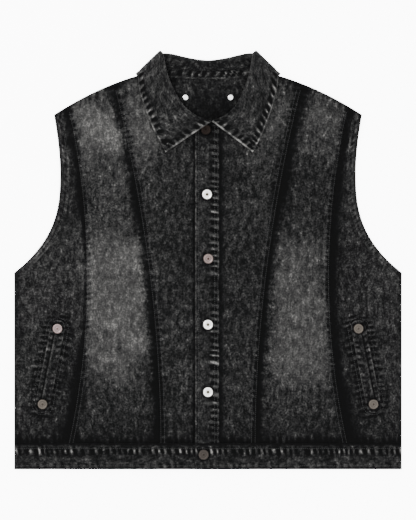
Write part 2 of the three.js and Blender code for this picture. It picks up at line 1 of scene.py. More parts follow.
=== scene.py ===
import bpy
import math
import numpy as np
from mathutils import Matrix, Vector


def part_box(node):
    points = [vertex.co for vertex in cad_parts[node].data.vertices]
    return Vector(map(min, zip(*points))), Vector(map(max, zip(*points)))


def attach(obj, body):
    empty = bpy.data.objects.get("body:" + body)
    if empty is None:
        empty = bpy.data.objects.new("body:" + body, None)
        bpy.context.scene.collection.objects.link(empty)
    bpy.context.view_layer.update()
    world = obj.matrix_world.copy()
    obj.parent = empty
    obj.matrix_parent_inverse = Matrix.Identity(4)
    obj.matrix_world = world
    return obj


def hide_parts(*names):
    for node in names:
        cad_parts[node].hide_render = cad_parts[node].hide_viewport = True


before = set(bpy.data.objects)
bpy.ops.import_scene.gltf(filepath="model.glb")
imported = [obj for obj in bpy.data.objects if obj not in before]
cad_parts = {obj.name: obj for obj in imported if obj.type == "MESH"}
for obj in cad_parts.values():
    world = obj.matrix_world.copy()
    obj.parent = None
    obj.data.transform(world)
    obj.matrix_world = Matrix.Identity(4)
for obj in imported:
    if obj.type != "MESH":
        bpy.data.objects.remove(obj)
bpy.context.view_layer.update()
print("frame loaded:", len(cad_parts), "nodes")

# Everything below is worked out in millimetres, y counted up from the lower edge of the hem.
mm = 0.001
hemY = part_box("hem_band_back")[0][1] / mm  # where y = 0 lies in the frame

cut = dict(
    halfChest=312.0, armpitY=316.5, waistX=238.0, waistY=480.0, tipX=247.8, tipY=571.0,
    neckX=104.0, neckY=636.2, frontNeckY=556.0, backNeckY=628.0, bandTop=41.96, hemSeamY=42.0,
)
cloth = dict(panel=1.4, band=2.4, placket=2.0, collar=1.8, stand=1.6, patch=1.3, leather=1.4, air=0.3)
gap = dict(seam=1.3, crown=2.2, fold=3.2, hem=2.0, armhole=0.6, halfSeam=0.001, halfFold=0.3)
under = dict(  # what lies between the back and the floor
    patchTop=43.5, patchFoot=40.5, patchLow=549.0, patchHigh=604.5, patchFrom=3, patchRamp=90,
    rivetHead=0.9, labelLeft=-180.0, labelRight=-115.0, labelLow=3.0, labelHigh=41.0, labelFrom=6,
    labelRamp=65, collarHeight=2.4, collarFrom=50, collarReach=122, collarFade=185,
)
foldRadius = 3.0
placketEdgeX, placketSeamX = 21.0, 18.0


def smooth(low, high, value):
    t = np.clip((np.asarray(value, float) - low) / (high - low), 0, 1)
    return t * t * (3 - 2 * t)


def mix(a, b, t):
    return a + (b - a) * t


def bell(offset, wide):
    return np.exp(-((offset / wide) ** 2))


def clouds(x, y, size, seed):  # soft random waves from -1 to 1, blobs about size mm wide
    grid = np.random.default_rng(seed).uniform(-1, 1, (64, 64))
    u, v = np.asarray(x, float) / size + 31.7, np.asarray(y, float) / size + 17.3
    i, j = np.floor(u).astype(int), np.floor(v).astype(int)
    a, b = u - i, v - j
    a, b = a * a * (3 - 2 * a), b * b * (3 - 2 * b)
    low = mix(grid[i % 64, j % 64], grid[(i + 1) % 64, j % 64], a)
    high = mix(grid[i % 64, (j + 1) % 64], grid[(i + 1) % 64, (j + 1) % 64], a)
    return mix(low, high, b)


# The cut: outline and seams

def shoulderY(x):
    out = np.minimum(np.abs(x), cut["tipX"]) - cut["neckX"]
    return cut["neckY"] - 0.26 * out - 0.00135 * out * out


def frontNeckLine(x):
    return cut["frontNeckY"] + (cut["neckY"] - cut["frontNeckY"]) * (np.abs(x) / cut["neckX"]) ** 2.4


def backNeckLine(x):
    return cut["backNeckY"] + (cut["neckY"] - cut["backNeckY"]) * (np.abs(x) / cut["neckX"]) ** 2


def sideEdgeX(y):
    y = np.asarray(y, float)
    low = np.clip((cut["waistY"] - y) / (cut["waistY"] - cut["armpitY"]), 0, 1)
    armhole = cut["waistX"] + (cut["halfChest"] - cut["waistX"]) * low**2.8
    high = np.clip((y - cut["waistY"]) / (cut["tipY"] - cut["waistY"]), 0, 1.2)
    above = cut["waistX"] + (cut["tipX"] - cut["waistX"]) * high**1.6
    return np.where(y <= cut["armpitY"], cut["halfChest"], np.where(y <= cut["waistY"], armhole, above))


def frontInnerSeam(y):
    return 78 + 72.7 * (np.maximum(0, np.asarray(y, float) - cut["hemSeamY"]) / 569) ** 1.95


def frontOuterSeam(y):
    return 196 + 4.1e-4 * (np.asarray(y, float) - 310) ** 2


def backInnerSeam(y):
    return 78 + 76 * (np.maximum(0, np.asarray(y, float) - cut["hemSeamY"]) / 564) ** 1.6


def backOuterSeam(y):
    return 215.5 + 0.9e-4 * (np.asarray(y, float) - 290) ** 2


def backCollarEdge(x):
    return 625.5 + 6.5 * (np.asarray(x, float) / 119) ** 2


# Heights of the layers

def patchLift():
    return under["rivetHead"] + cloth["air"] + cloth["patch"] + cloth["air"]


def lift(x, y):
    x, y = np.asarray(x, float), np.asarray(y, float)
    pastPatch = np.hypot(
        np.maximum(0, np.abs(x) - under["patchTop"]),
        np.maximum(0, np.maximum(under["patchLow"] - y, y - under["patchHigh"])),
    )
    overPatch = patchLift() * (1 - smooth(under["patchFrom"], under["patchRamp"], pastPatch))
    pastLabel = np.hypot(
        np.maximum(0, np.maximum(under["labelLeft"] - x, x - under["labelRight"])),
        np.maximum(0, y - under["labelHigh"]),
    )
    labelHeight = cloth["leather"] + cloth["air"]
    overLabel = labelHeight * (1 - smooth(under["labelFrom"], under["labelRamp"], pastLabel))
    overCollar = (
        under["collarHeight"]
        * smooth(-under["collarFrom"], -1, y - backCollarEdge(x))
        * (1 - smooth(under["collarReach"], under["collarFade"], np.abs(x)))
    )
    return np.maximum(np.maximum(overPatch, overLabel), overCollar)


def innerGap(x, y):
    x, y = np.broadcast_arrays(np.asarray(x, float), np.asarray(y, float))
    out = np.abs(x)
    edges = [np.full(y.shape, placketSeamX), frontInnerSeam(y), frontOuterSeam(y), sideEdgeX(y)]
    space = np.full(y.shape, gap["seam"])
    towardSide = np.zeros(y.shape)
    for k in range(3):
        inside = (out >= edges[k]) & (out <= edges[k + 1])
        across = np.clip((out - edges[k]) / (edges[k + 1] - edges[k]), 0, 1)
        space += np.where(inside, gap["crown"] * 4 * across * (1 - across), 0)
        if k == 2:
            towardSide = np.where(inside, smooth(0.3, 1, across), 0)
    space = mix(gap["hem"], space, smooth(0, 30, y - cut["hemSeamY"]))
    edgeGap = mix(gap["fold"], gap["armhole"], smooth(-6, 14, y - cut["armpitY"]))
    space = mix(space, edgeGap, np.where(out > edges[3], 1, towardSide))
    nearShoulder = 1 - smooth(4, 45, shoulderY(x) - y)
    return mix(space, gap["fold"], nearShoulder * smooth(96, 122, out))


def stackHeight(x, y):
    rise = np.where(np.asarray(x) < 0, 0, 2.5 * (1 - smooth(18, 75, x)))
    return 2 * cloth["panel"] + innerGap(x, y) + rise


def frontTop(x, y):
    return lift(x, y) + stackHeight(x, y)


def underPlacketBottom(x, y):
    space = mix(gap["hem"], gap["seam"], smooth(0, 30, np.asarray(y) - cut["hemSeamY"]))
    return cloth["panel"] + lift(x, y) + space


def placketBottom(x, y):
    return underPlacketBottom(x, y) + cloth["placket"] + cloth["air"]


def frontBandBottom(x, y, overlaps):
    rise = (cloth["band"] + cloth["air"]) * (1 - smooth(24, 80, x)) if overlaps else 0
    return lift(x, y) + cloth["band"] + 1.0 + rise


# Creases listed: ends in mm, half width, height (a trough is below nought), sideways bow

frontCreases = [
    ((-306, 296), (-214, 268), 11, -0.75, 8),
    ((-300, 318), (-222, 306), 9, 0.6, -6),
    ((304, 300), (218, 262), 12, -0.8, -9),
    ((286, 330), (214, 330), 8, 0.5, 7),
    ((-236, 540), (-168, 470), 13, -0.6, 10),
    ((236, 520), (172, 430), 12, -0.6, -12),
    ((-118, 596), (-60, 470), 12, -0.55, -7),
    ((112, 590), (62, 478), 11, -0.6, 9),
    ((-60, 430), (-34, 300), 14, 0.5, 6),
    ((58, 400), (40, 262), 13, 0.45, -8),
    ((-180, 66), (-168, 168), 12, -0.55, 5),
    ((132, 60), (118, 190), 13, -0.6, -6),
    ((-130, 58), (-118, 130), 8, 0.5, 3),
    ((-300, 66), (-240, 86), 9, -0.55, 4),
    ((300, 60), (236, 92), 9, -0.5, -5),
    ((52, 52), (60, 150), 9, -0.5, 4),
    ((-60, 50), (-66, 120), 8, -0.45, -3),
    ((180, 520), (140, 600), 10, 0.45, 6),
]
backCreases = [  # they only hollow the underside upwards, so the back still rests flat
    ((-300, 290), (-205, 250), 12, 0.7, 8),
    ((302, 284), (210, 262), 12, 0.7, -7),
    ((-180, 560), (-120, 470), 13, 0.6, 8),
    ((176, 566), (124, 462), 12, 0.65, -9),
    ((-60, 520), (-30, 380), 14, 0.55, -8),
    ((52, 516), (26, 360), 14, 0.5, 9),
    ((-150, 60), (-138, 190), 11, 0.55, 5),
    ((160, 62), (150, 180), 11, 0.6, -5),
    ((20, 60), (-14, 170), 13, 0.5, 7),
    ((-290, 70), (-236, 98), 9, 0.5, 4),
]


def creaseHeight(x, y, table):
    total = np.zeros(np.broadcast(x, y).shape)
    for (ax, ay), (bx, by), wide, high, bow in table:
        long = math.hypot(bx - ax, by - ay)
        ux, uy = (bx - ax) / long, (by - ay) / long
        along = np.clip(((x - ax) * ux + (y - ay) * uy) / long, 0, 1)
        arch = np.sin(np.pi * along)
        across = (x - ax) * -uy + (y - ay) * ux - bow * arch
        beyond = np.hypot(across, (x - ax) * ux + (y - ay) * uy - along * long)
        total += high * arch**0.8 * bell(beyond, wide)
    return total


def frontRelief(x, y):  # creases and the slight waviness of washed denim
    waves = 0.22 * clouds(x, y, 46, 3) + 0.16 * clouds(x, y, 21, 4) + 0.08 * clouds(x, y, 9, 5)
    return creaseHeight(x, y, frontCreases) + waves


def frontShape(x, y):
    return frontTop(x, y) + frontRelief(x, y)


def backRelief(x, y):
    waves = 0.18 * (clouds(x, y, 40, 13) + 1) * 0.5 + 0.12 * (clouds(x, y, 17, 14) + 1) * 0.5
    return creaseHeight(x, y, backCreases) + waves


# Roping: the ripples that washing leaves along every stitched edge

def ropes(along, across, pitch, wide, seed):
    lane = 0 * across + seed
    drift = 0.55 * clouds(along, lane + 3, 2.2 * pitch, seed)
    drift += 0.8 * clouds(along, lane + 5, 5.5 * pitch, seed + 7)
    phase = along / pitch + 0.1 * across / wide + drift
    ripple = np.sin(2 * np.pi * phase) + 0.3 * np.sin(4 * np.pi * phase + 1.1 + 2 * drift)
    strength = 0.7 + 0.5 * clouds(along, lane + 9, 1.7 * pitch, seed + 50)
    strength += 0.25 * clouds(along, across, 3.5, seed + 51)
    bent = wide * (1 + 0.25 * clouds(along, lane + 1, 2 * pitch, seed + 52))
    return ripple * strength * np.exp(-(np.abs(across / bent) ** 2.6))


pocket = dict(topX=242.0, topY=226.5, footX=266.0, footY=105.0, half=12.0, overhang=14.0, thick=1.6)
pocketSlant = math.hypot(pocket["topX"] - pocket["footX"], pocket["topY"] - pocket["footY"])
pocketUx = (pocket["topX"] - pocket["footX"]) / pocketSlant
pocketUy = (pocket["topY"] - pocket["footY"]) / pocketSlant


def pocketPlace(x, y):  # along the slit from its foot, and across it outwards
    out = np.abs(x)
    along = (out - pocket["footX"]) * pocketUx + (y - pocket["footY"]) * pocketUy
    across = (out - pocket["footX"]) * pocketUy - (y - pocket["footY"]) * pocketUx
    return along, across


def pocketRim(x, y):  # distance outside the welt's rounded outline
    along, across = pocketPlace(x, y)
    past = np.maximum(0, np.maximum(-along, along - pocketSlant))
    return np.hypot(across, past) - pocket["half"]


# The wash: 0 is the darkest black, 1 the palest grey. Each row is a faded or dark area: its centre,
# half width and half height, how softly it ends in x and in y, and how much it adds.

fades = [
    (-146, 262, 48, 112, 24, 62, 0.30),
    (146, 266, 43, 112, 26, 58, 0.285),
    (-178, 562, 40, 46, 24, 66, 0.31),
    (188, 560, 34, 44, 26, 60, 0.19),
    (-158, 462, 38, 60, 30, 90, 0.10),
    (-112, 562, 24, 50, 20, 60, 0.25),
    (114, 560, 24, 48, 22, 56, 0.19),
    (-280, 230, 30, 150, 30, 80, 0.05),
    (290, 190, 26, 120, 30, 80, 0.05),
    (152, 418, 34, 62, 26, 50, -0.10),
]


def frontWash(x, y):
    wash = 0.38 + 0.05 * clouds(x, y, 55, 21) + 0.05 * clouds(x, y, 24, 22) + 0.035 * clouds(x, y, 12, 26)
    wobble = 8 * clouds(x, y, 30, 23) + 4 * clouds(x, y, 13, 25)
    patchy = 1 + 0.22 * clouds(x, y, 26, 27)
    for fadeX, fadeY, wide, tall, softX, softY, level in fades:
        dx = np.maximum(0, np.abs(x - fadeX) - wide + softX * 0.6 + wobble)
        dy = np.maximum(0, np.abs(y - fadeY) - tall + softY * 0.6 + wobble)
        fade = np.exp(-((dx / (0.85 * softX)) ** 2) - (dy / (0.85 * softY)) ** 2)
        wash += patchy * level * fade
    out = np.abs(x)
    uneven = 1 + 0.3 * clouds(x, y, 34, 24)
    inner = out - frontInnerSeam(y)
    outer = out - frontOuterSeam(y)
    bandWide = uneven * mix(7.0, 11.0, smooth(260, 560, y))
    wash -= 0.46 * bell(np.abs(inner - 1), bandWide)
    edge = np.where(x < 0, mix(2.6, 11, smooth(350, 540, y)), 8.5)
    edge = np.maximum(edge, 12 * (1 - smooth(130, 260, y))) * uneven
    wash -= 0.42 * bell(np.abs(outer - np.where(x < 0, 1, 3)), edge)
    wash -= 0.36 * bell(np.abs(y - 44), 5.5)
    wash -= 0.08 * np.exp(-(np.abs(y - 50) / 26)) * uneven
    # Painted shadow of the placket, just outside its edges at x = ±21.
    wash -= 0.3 * bell(np.maximum(0, out - 21), 3.5) * uneven
    side = sideEdgeX(y) - out
    wash -= 0.12 * bell(side, 5) * smooth(316, 330, y)
    wash -= 0.14 * bell(side, 5) * (1 - smooth(310, 330, y))
    wash -= 0.2 * bell(shoulderY(x) - y, 6)
    return wash


def backWash(x, y):
    wash = 0.385 + 0.05 * clouds(x, y, 60, 31) + 0.05 * clouds(x, y, 26, 32) + 0.035 * clouds(x, y, 12, 34)
    wash += 0.07 * np.exp(-(((np.abs(x) - 45) / 60) ** 2 + ((y - 420) / 170) ** 2))
    out = np.abs(x)
    uneven = 1 + 0.3 * clouds(x, y, 34, 33)
    wash -= 0.46 * bell(np.abs(out - backInnerSeam(y) - 1), 9 * uneven)
    wash -= 0.46 * bell(np.abs(out - backOuterSeam(y) - 2), 8.5 * uneven)
    wash -= 0.3 * bell(np.abs(y - 46), 9)
    return wash


# Meshes

def addObject(name, data):
    obj = bpy.data.objects.new(name, data)
    bpy.context.scene.collection.objects.link(obj)
    return obj


def layers(x, y, *heights):
    return [np.stack([x, y, z], -1) for z in heights]


def wallMesh(name, outer, inner, washOuter, washInner, uv, material, sharp=48):
    rows, columns = outer.shape[:2]
    count = rows * columns
    points = np.concatenate([outer.reshape(-1, 3), inner.reshape(-1, 3)])
    index = np.arange(count).reshape(rows, columns)
    a, b, c, d = index[:-1, :-1], index[:-1, 1:], index[1:, 1:], index[1:, :-1]
    quads = [np.stack([a, b, c, d], -1).reshape(-1, 4)]
    quads.append(np.stack([a, d, c, b], -1).reshape(-1, 4) + count)
    for line in (index[:, 0], index[::-1, -1], index[0, ::-1], index[-1, :]):
        p, q = line[:-1], line[1:]
        quads.append(np.stack([p, q, q + count, p + count], -1))
    quads = np.concatenate(quads)
    p0, p1, p2, p3 = (points[quads[:, k]] for k in range(4))
    volume = (p0 * np.cross(p1, p2)).sum() + (p0 * np.cross(p2, p3)).sum()
    if volume < 0:
        quads = quads[:, ::-1]
    mesh = bpy.data.meshes.new(name)
    world = (points + [0, hemY, 0]) * mm
    mesh.vertices.add(len(world))
    mesh.vertices.foreach_set("co", world.astype(np.float32).ravel())
    mesh.loops.add(quads.size)
    mesh.loops.foreach_set("vertex_index", quads.astype(np.int32).ravel())
    mesh.polygons.add(len(quads))
    mesh.polygons.foreach_set("loop_start", np.arange(0, quads.size, 4, dtype=np.int32))
    mesh.update(calc_edges=True)
    mesh.polygons.foreach_set("use_smooth", np.ones(len(quads), bool))
    mesh.set_sharp_from_angle(angle=math.radians(sharp))
    wash = np.concatenate([np.broadcast_to(w, (rows, columns)).reshape(-1) for w in (washOuter, washInner)])
    mesh.attributes.new("wash", "FLOAT", "POINT").data.foreach_set("value", wash.astype(np.float32))
    flat = np.concatenate([uv.reshape(-1, 2), uv.reshape(-1, 2)]) * mm
    mesh.uv_layers.new(name="weave").data.foreach_set("uv", flat[quads.ravel()].astype(np.float32).ravel())
    mesh.materials.append(material)
    return addObject(name, mesh)


def keep(obj, nodes):
    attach(obj, "root")
    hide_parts(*nodes)
    return obj


# Materials

def nodesOf(name):
    material = bpy.data.materials.new(name)
    material.use_nodes = True
    tree = material.node_tree
    tree.nodes.clear()
    output = tree.nodes.new("ShaderNodeOutputMaterial")
    shader = tree.nodes.new("ShaderNodeBsdfPrincipled")
    tree.links.new(shader.outputs["BSDF"], output.inputs["Surface"])
    return material, tree, shader


def mathNode(tree, operation, a, b=None, c=None, clamp=False):
    node = tree.nodes.new("ShaderNodeMath")
    node.operation = operation
    node.use_clamp = clamp
    for socket, value in zip(node.inputs, (a, b, c)):
        if value is None:
            continue
        if isinstance(value, (int, float)):
            socket.default_value = value
        else:
            tree.links.new(value, socket)
    return node.outputs[0]


def setInputs(node, values):
    for key, value in values.items():
        node.inputs[key].default_value = value


def attributeNode(tree, name):
    node = tree.nodes.new("ShaderNodeAttribute")
    node.attribute_name = name
    return node.outputs["Fac"]


def weaveNode(tree):
    node = tree.nodes.new("ShaderNodeUVMap")
    node.uv_map = "weave"
    return node.outputs["UV"]


def addBump(tree, shader, height, strength, distance):
    bump = tree.nodes.new("ShaderNodeBump")
    setInputs(bump, {"Strength": strength, "Distance": distance})
    tree.links.new(height, bump.inputs["Height"])
    tree.links.new(bump.outputs["Normal"], shader.inputs["Normal"])


def noiseNode(tree, vector, scale, detail, rough, stretch=(1, 1, 1), offset=(0, 0, 0)):
    place = tree.nodes.new("ShaderNodeMapping")
    setInputs(place, {"Scale": stretch, "Location": offset})
    tree.links.new(vector, place.inputs["Vector"])
    noise = tree.nodes.new("ShaderNodeTexNoise")
    setInputs(noise, {"Scale": scale, "Detail": detail, "Roughness": rough})
    tree.links.new(place.outputs["Vector"], noise.inputs["Vector"])
    return noise.outputs["Fac"]


def rampNode(tree, value, stops):
    ramp = tree.nodes.new("ShaderNodeValToRGB")
    elements = ramp.color_ramp.elements
    while len(elements) > 1:
        elements.remove(elements[-1])
    elements[0].position, elements[0].color = stops[0][0], (*stops[0][1], 1)
    for position, color in stops[1:]:
        elements.new(position).color = (*color, 1)
    tree.links.new(value, ramp.inputs["Fac"])
    return ramp.outputs["Color"]


denimLook = dict(
    blotch=135, blotchAmount=0.74, grain=330, grainAmount=0.5, slub=900, slubAmount=0.22,
    twillPitch=1.15, twillAmount=0.10, bump=0.45,
    room=((0.0, 0.45), (0.28, 1.15), (0.45, 1.15), (0.66, 0.75), (1.0, 0.6)),  # mottling by level
)


def denimMaterial(name, offset, lift=0.0):
    material, tree, shader = nodesOf(name)
    look = denimLook
    vector = weaveNode(tree)
    level = mathNode(tree, "ADD", attributeNode(tree, "wash"), lift)
    place = (offset, offset * 0.7, 0)
    blotch = noiseNode(tree, vector, look["blotch"], 6, 0.68, stretch=(1, 0.55, 1), offset=place)
    grain = noiseNode(tree, vector, look["grain"], 3, 0.6, offset=(0, offset, 0))
    slub = noiseNode(tree, vector, look["slub"], 2, 0.5, stretch=(1, 0.16, 1), offset=(offset, 0, 0))
    room = rampNode(tree, level, [(at, (amount,) * 3) for at, amount in look["room"]])
    for source, amount in ((blotch, "blotchAmount"), (grain, "grainAmount"), (slub, "slubAmount")):
        centred = mathNode(tree, "SUBTRACT", source, 0.5)
        scaled = mathNode(tree, "MULTIPLY", centred, room)
        level = mathNode(tree, "MULTIPLY_ADD", scaled, look[amount] * 2, level)
    turned = tree.nodes.new("ShaderNodeMapping")
    turned.inputs["Rotation"].default_value = (0, 0, math.radians(62))
    tree.links.new(vector, turned.inputs["Vector"])
    twill = tree.nodes.new("ShaderNodeTexWave")
    setInputs(twill, {"Scale": math.pi / (10 * look["twillPitch"] * mm), "Distortion": 1.2})
    setInputs(twill, {"Detail": 1.0, "Detail Scale": 1.5})
    tree.links.new(turned.outputs["Vector"], twill.inputs["Vector"])
    ribs = mathNode(tree, "SUBTRACT", twill.outputs["Fac"], 0.5)
    scaled = mathNode(tree, "MULTIPLY", ribs, room)
    level = mathNode(tree, "MULTIPLY_ADD", scaled, look["twillAmount"] * 2, level)
    stops = [
        (0.00, (0.0002, 0.0002, 0.0002)),
        (0.12, (0.0005, 0.0005, 0.0006)),
        (0.28, (0.0024, 0.0024, 0.0025)),
        (0.42, (0.0066, 0.0066, 0.0066)),
        (0.60, (0.0172, 0.0169, 0.0165)),
        (0.80, (0.0375, 0.0367, 0.0354)),
        (1.00, (0.1150, 0.1115, 0.1065)),
    ]
    color = rampNode(tree, level, stops)
    tree.links.new(color, shader.inputs["Base Color"])
    setInputs(shader, {"Roughness": 0.93, "Specular IOR Level": 0.06})
    setInputs(shader, {"Sheen Weight": 0.015, "Sheen Roughness": 0.6})
    height = mathNode(tree, "MULTIPLY_ADD", ribs, 0.45, mathNode(tree, "MULTIPLY", slub, 0.6))
    height = mathNode(tree, "MULTIPLY_ADD", grain, 0.8, height)
    addBump(tree, shader, height, look["bump"], 0.0006)
    return material


def metalMaterial(name, face, core, rimShade, pin, rough):
    reach = 12  # mm of radius that the stops cover
    # grooveShade and rimShade are painted shade: the dished ring and the rim's outer slope are coloured
    # darker than the face
    grooveShade = tuple(0.74 * f + 0.12 * c for f, c in zip(face, core))
    material, tree, shader = nodesOf(name)
    coords = tree.nodes.new("ShaderNodeTexCoord").outputs["Object"]
    spots = noiseNode(tree, coords, 520, 4, 0.7)
    wobble = mathNode(tree, "MULTIPLY_ADD", spots, 1.2, attributeNode(tree, "radius"))
    stops = [(0.0, core), ((pin - 0.2) / reach, core), ((pin + 0.6) / reach, face), (0.29, face)]
    stops += [(0.33, grooveShade), (0.45, grooveShade), (0.51, face), (0.61, face), (0.70, rimShade)]
    color = rampNode(tree, mathNode(tree, "DIVIDE", wobble, reach, clamp=True), stops)
    tree.links.new(color, shader.inputs["Base Color"])
    shader.inputs["Metallic"].default_value = 1.0
    rough = mathNode(tree, "MULTIPLY_ADD", spots, 0.25, rough)
    tree.links.new(rough, shader.inputs["Roughness"])
    addBump(tree, shader, spots, 0.12, 0.0003)
    return material


def leatherMaterial():
    material, tree, shader = nodesOf("orangeLeather")
    vector = weaveNode(tree)
    tone = noiseNode(tree, vector, 60, 4, 0.6)
    pores = noiseNode(tree, vector, 900, 3, 0.7)
    level = mathNode(tree, "MULTIPLY_ADD", pores, 0.25, attributeNode(tree, "wash"))
    level = mathNode(tree, "MULTIPLY_ADD", tone, 0.5, level)
    stops = [(0.15, (0.024, 0.004, 0.001)), (0.5, (0.095, 0.0125, 0.0016))]
    stops += [(0.8, (0.135, 0.020, 0.003)), (1.0, (0.17, 0.032, 0.006))]
    color = rampNode(tree, level, stops)
    tree.links.new(color, shader.inputs["Base Color"])
    setInputs(shader, {"Roughness": 0.55, "Specular IOR Level": 0.12})
    addBump(tree, shader, pores, 0.3, 0.0004)
    return material


def threadMaterial(name, color):
    material, tree, shader = nodesOf(name)
    coords = tree.nodes.new("ShaderNodeTexCoord").outputs["Object"]
    fuzz = noiseNode(tree, coords, 700, 2, 0.5)
    dark = tuple(0.35 * c for c in color)
    tree.links.new(rampNode(tree, fuzz, [(0.3, dark), (0.7, color)]), shader.inputs["Base Color"])
    shader.inputs["Roughness"].default_value = 0.8
    return material


# The rim colour in each look is painted shade round the button's edge.
metalLooks = dict(  # the colours of face, pin and rim, the pin's radius in mm, the roughness
    silverButton=((0.95, 0.94, 0.90), (0.045, 0.038, 0.024), (0.10, 0.095, 0.085), 2.9, 0.16),
    # roseReflectionButton: the same silver metal as the others, with a darker warm reflection painted into
    # its colour
    roseReflectionButton=((0.155, 0.12, 0.112), (0.035, 0.022, 0.02), (0.05, 0.038, 0.034), 2.2, 0.24),
    # pinkReflectionTack: the pocket tack's metal with a lighter pink reflection and highlight painted into
    # its colour
    pinkReflectionTack=((0.20, 0.155, 0.15), (0.08, 0.055, 0.05), (0.12, 0.09, 0.08), 1.9, 0.3),
    dullTack=((0.078, 0.068, 0.058), (0.035, 0.029, 0.024), (0.045, 0.038, 0.032), 2.0, 0.42),
    hemTack=((0.042, 0.036, 0.032), (0.022, 0.018, 0.016), (0.026, 0.022, 0.02), 2.0, 0.45),
    # shadedTack: the top button's metal painted dark brown as the shadow the collar casts on it
    shadedTack=((0.013, 0.0098, 0.0085), (0.008, 0.006, 0.005), (0.009, 0.007, 0.006), 2.0, 0.45),
    brightRivet=((0.95, 0.95, 0.93), (0.80, 0.79, 0.76), (0.50, 0.48, 0.45), 1.0, 0.1),
)
denims = [denimMaterial(f"washedDenim{k + 1}", 0.37 * k) for k in range(4)]
# shadedDenim: the whole wash lowered, painted shade for the collar stand inside the neck and the strip under
# the placket
shadedDenim = denimMaterial("shadedDenim", offset=1.9, lift=-0.05)
metals = {name: metalMaterial(name, *look) for name, look in metalLooks.items()}
leather = leatherMaterial()
blackThread = threadMaterial("blackThread", (0.0035, 0.0035, 0.0036))
greyThread = threadMaterial("greyThread", (0.040, 0.039, 0.038))
rustThread = threadMaterial("rustThread", (0.20, 0.07, 0.02))
print("materials made")


# Body panels

panelLook = dict(
    frontPitch=2.3, backPitch=3.2, lapWidth=8.5, lapFoot=11.0, lapHeight=0.8,
    seamRows=(2.2, 8.0), armholeRows=(4.2, 11.2),  # rows of stitching, from the seam and from the edge
)
foldTurns = [math.radians(a) for a in (75, 60, 45, 30, 15, 0)]


panelRopes = [  # ripples beside the lines of a front panel, each row at its distance inside the line
    dict(line="inner", high=0.30, at=5, side=40, pitch=9.2, wide=6.5, seed=101),
    dict(line="inner", high=0.16, at=-8, side=90, pitch=9.6, wide=6.0, seed=102),
    dict(line="outer", high=0.26, at=4, side=60, pitch=8.8, wide=5.5, seed=103),
]


def seamRopes(x, y):
    out, right = np.abs(x), np.where(x < 0, 1.0, 0.0)
    inside = dict(inner=frontInnerSeam(y) - out, outer=frontOuterSeam(y) - out)
    total = 0
    for row in panelRopes:
        across = row["at"] - inside[row["line"]]
        ripple = ropes(y + row["side"] * right, across, row["pitch"], row["wide"], row["seed"])
        total += row["high"] * ripple
    side, shoulder = sideEdgeX(y) - out, shoulderY(x) - y
    edgeLine = y + 0.6 * (cut["halfChest"] - out)
    total += 0.26 * ropes(edgeLine, side - 8, 8.6, 5.5, 104) * smooth(316, 326, y)
    total += 0.22 * ropes(x, shoulder - 7, 8.8, 6, 105)
    total += 0.34 * ropes(x, y - cut["hemSeamY"] - 4, 10.5, 8, 106)
    rim = pocketRim(x, y)
    along, across = pocketPlace(x, y)
    around = along + np.where(across > 0, 31, 0)
    return total + 0.55 * ropes(around, rim - 6, 9.5, 6.5, 107) * smooth(-4, 1, rim)


def seamCuts(x, y):  # the groove and rounded shoulder at each seam, and the sunk rows of stitching
    depth = 0
    for seam in (frontInnerSeam, frontOuterSeam):
        off = np.abs(x) - seam(y)
        depth = depth + 0.45 * bell(np.maximum(0, off), 1.6) + 0.35 * np.where(off < 0, bell(off, 1.0), 0)
        for row in panelLook["seamRows"]:
            depth += 0.2 * bell(off + row, 0.8)
    side = sideEdgeX(y) - np.abs(x)
    for row in panelLook["armholeRows"]:
        depth += 0.2 * bell(side - row, 0.8) * smooth(316, 324, y)
    return depth


def frontDetail(x, y):  # laps of one panel over the next, the turned armhole, seams and ripples
    lap = 0
    for seam in (frontInnerSeam, frontOuterSeam):
        inside = seam(y) - np.abs(x)
        within = (inside >= -0.5) & (inside < panelLook["lapFoot"] + 1)
        lap += np.where(within, 1 - smooth(panelLook["lapWidth"], panelLook["lapFoot"], inside), 0)
    side = sideEdgeX(y) - np.abs(x)
    hemmed = 0.5 * smooth(0, 12, y - cut["armpitY"]) * (1 - smooth(9, 11.5, side))
    return panelLook["lapHeight"] * lap + hemmed - seamCuts(x, y) + seamRopes(x, y)


def backHollow(x, y, wx):  # how far creases, seams and ripples lift the back's underside off the floor
    out = np.abs(x)
    hollow = backRelief(wx, y)
    for seam in (backInnerSeam, backOuterSeam):
        off = out - seam(y)
        hollow = hollow + 0.5 * bell(off, 1.4) + 0.14 * bell(off + 2.4, 0.7) + 0.14 * bell(off + 8, 0.7)
        hollow += 0.16 * (1 + ropes(y + 33 * (wx < 0), off + 5, 9.2, 6.5, 111))
    hollow += 0.3 * (1 + ropes(x, y - cut["hemSeamY"] - 5, 10.5, 8, 112)) * bell(y - 46, 12)
    fromTop = np.where(out < cut["neckX"], backNeckLine(np.minimum(out, cut["neckX"])), shoulderY(x)) - y
    hollow += 0.2 * (1 + ropes(x, fromTop - 7, 9, 6, 113)) * bell(fromTop, 14)
    return hollow + 0.3 * bell(sideEdgeX(y) - out - 4.2, 0.8) * smooth(316, 324, y)


def foldLines(count, turns):  # share along the flat cloth, then sine and cosine of each turn at its end
    share = np.concatenate([np.linspace(0, 1, count), np.ones(len(turns))])
    sine = np.concatenate([np.ones(count), np.sin(turns)])
    cosine = np.concatenate([np.zeros(count), np.cos(turns)])
    return share, sine, cosine


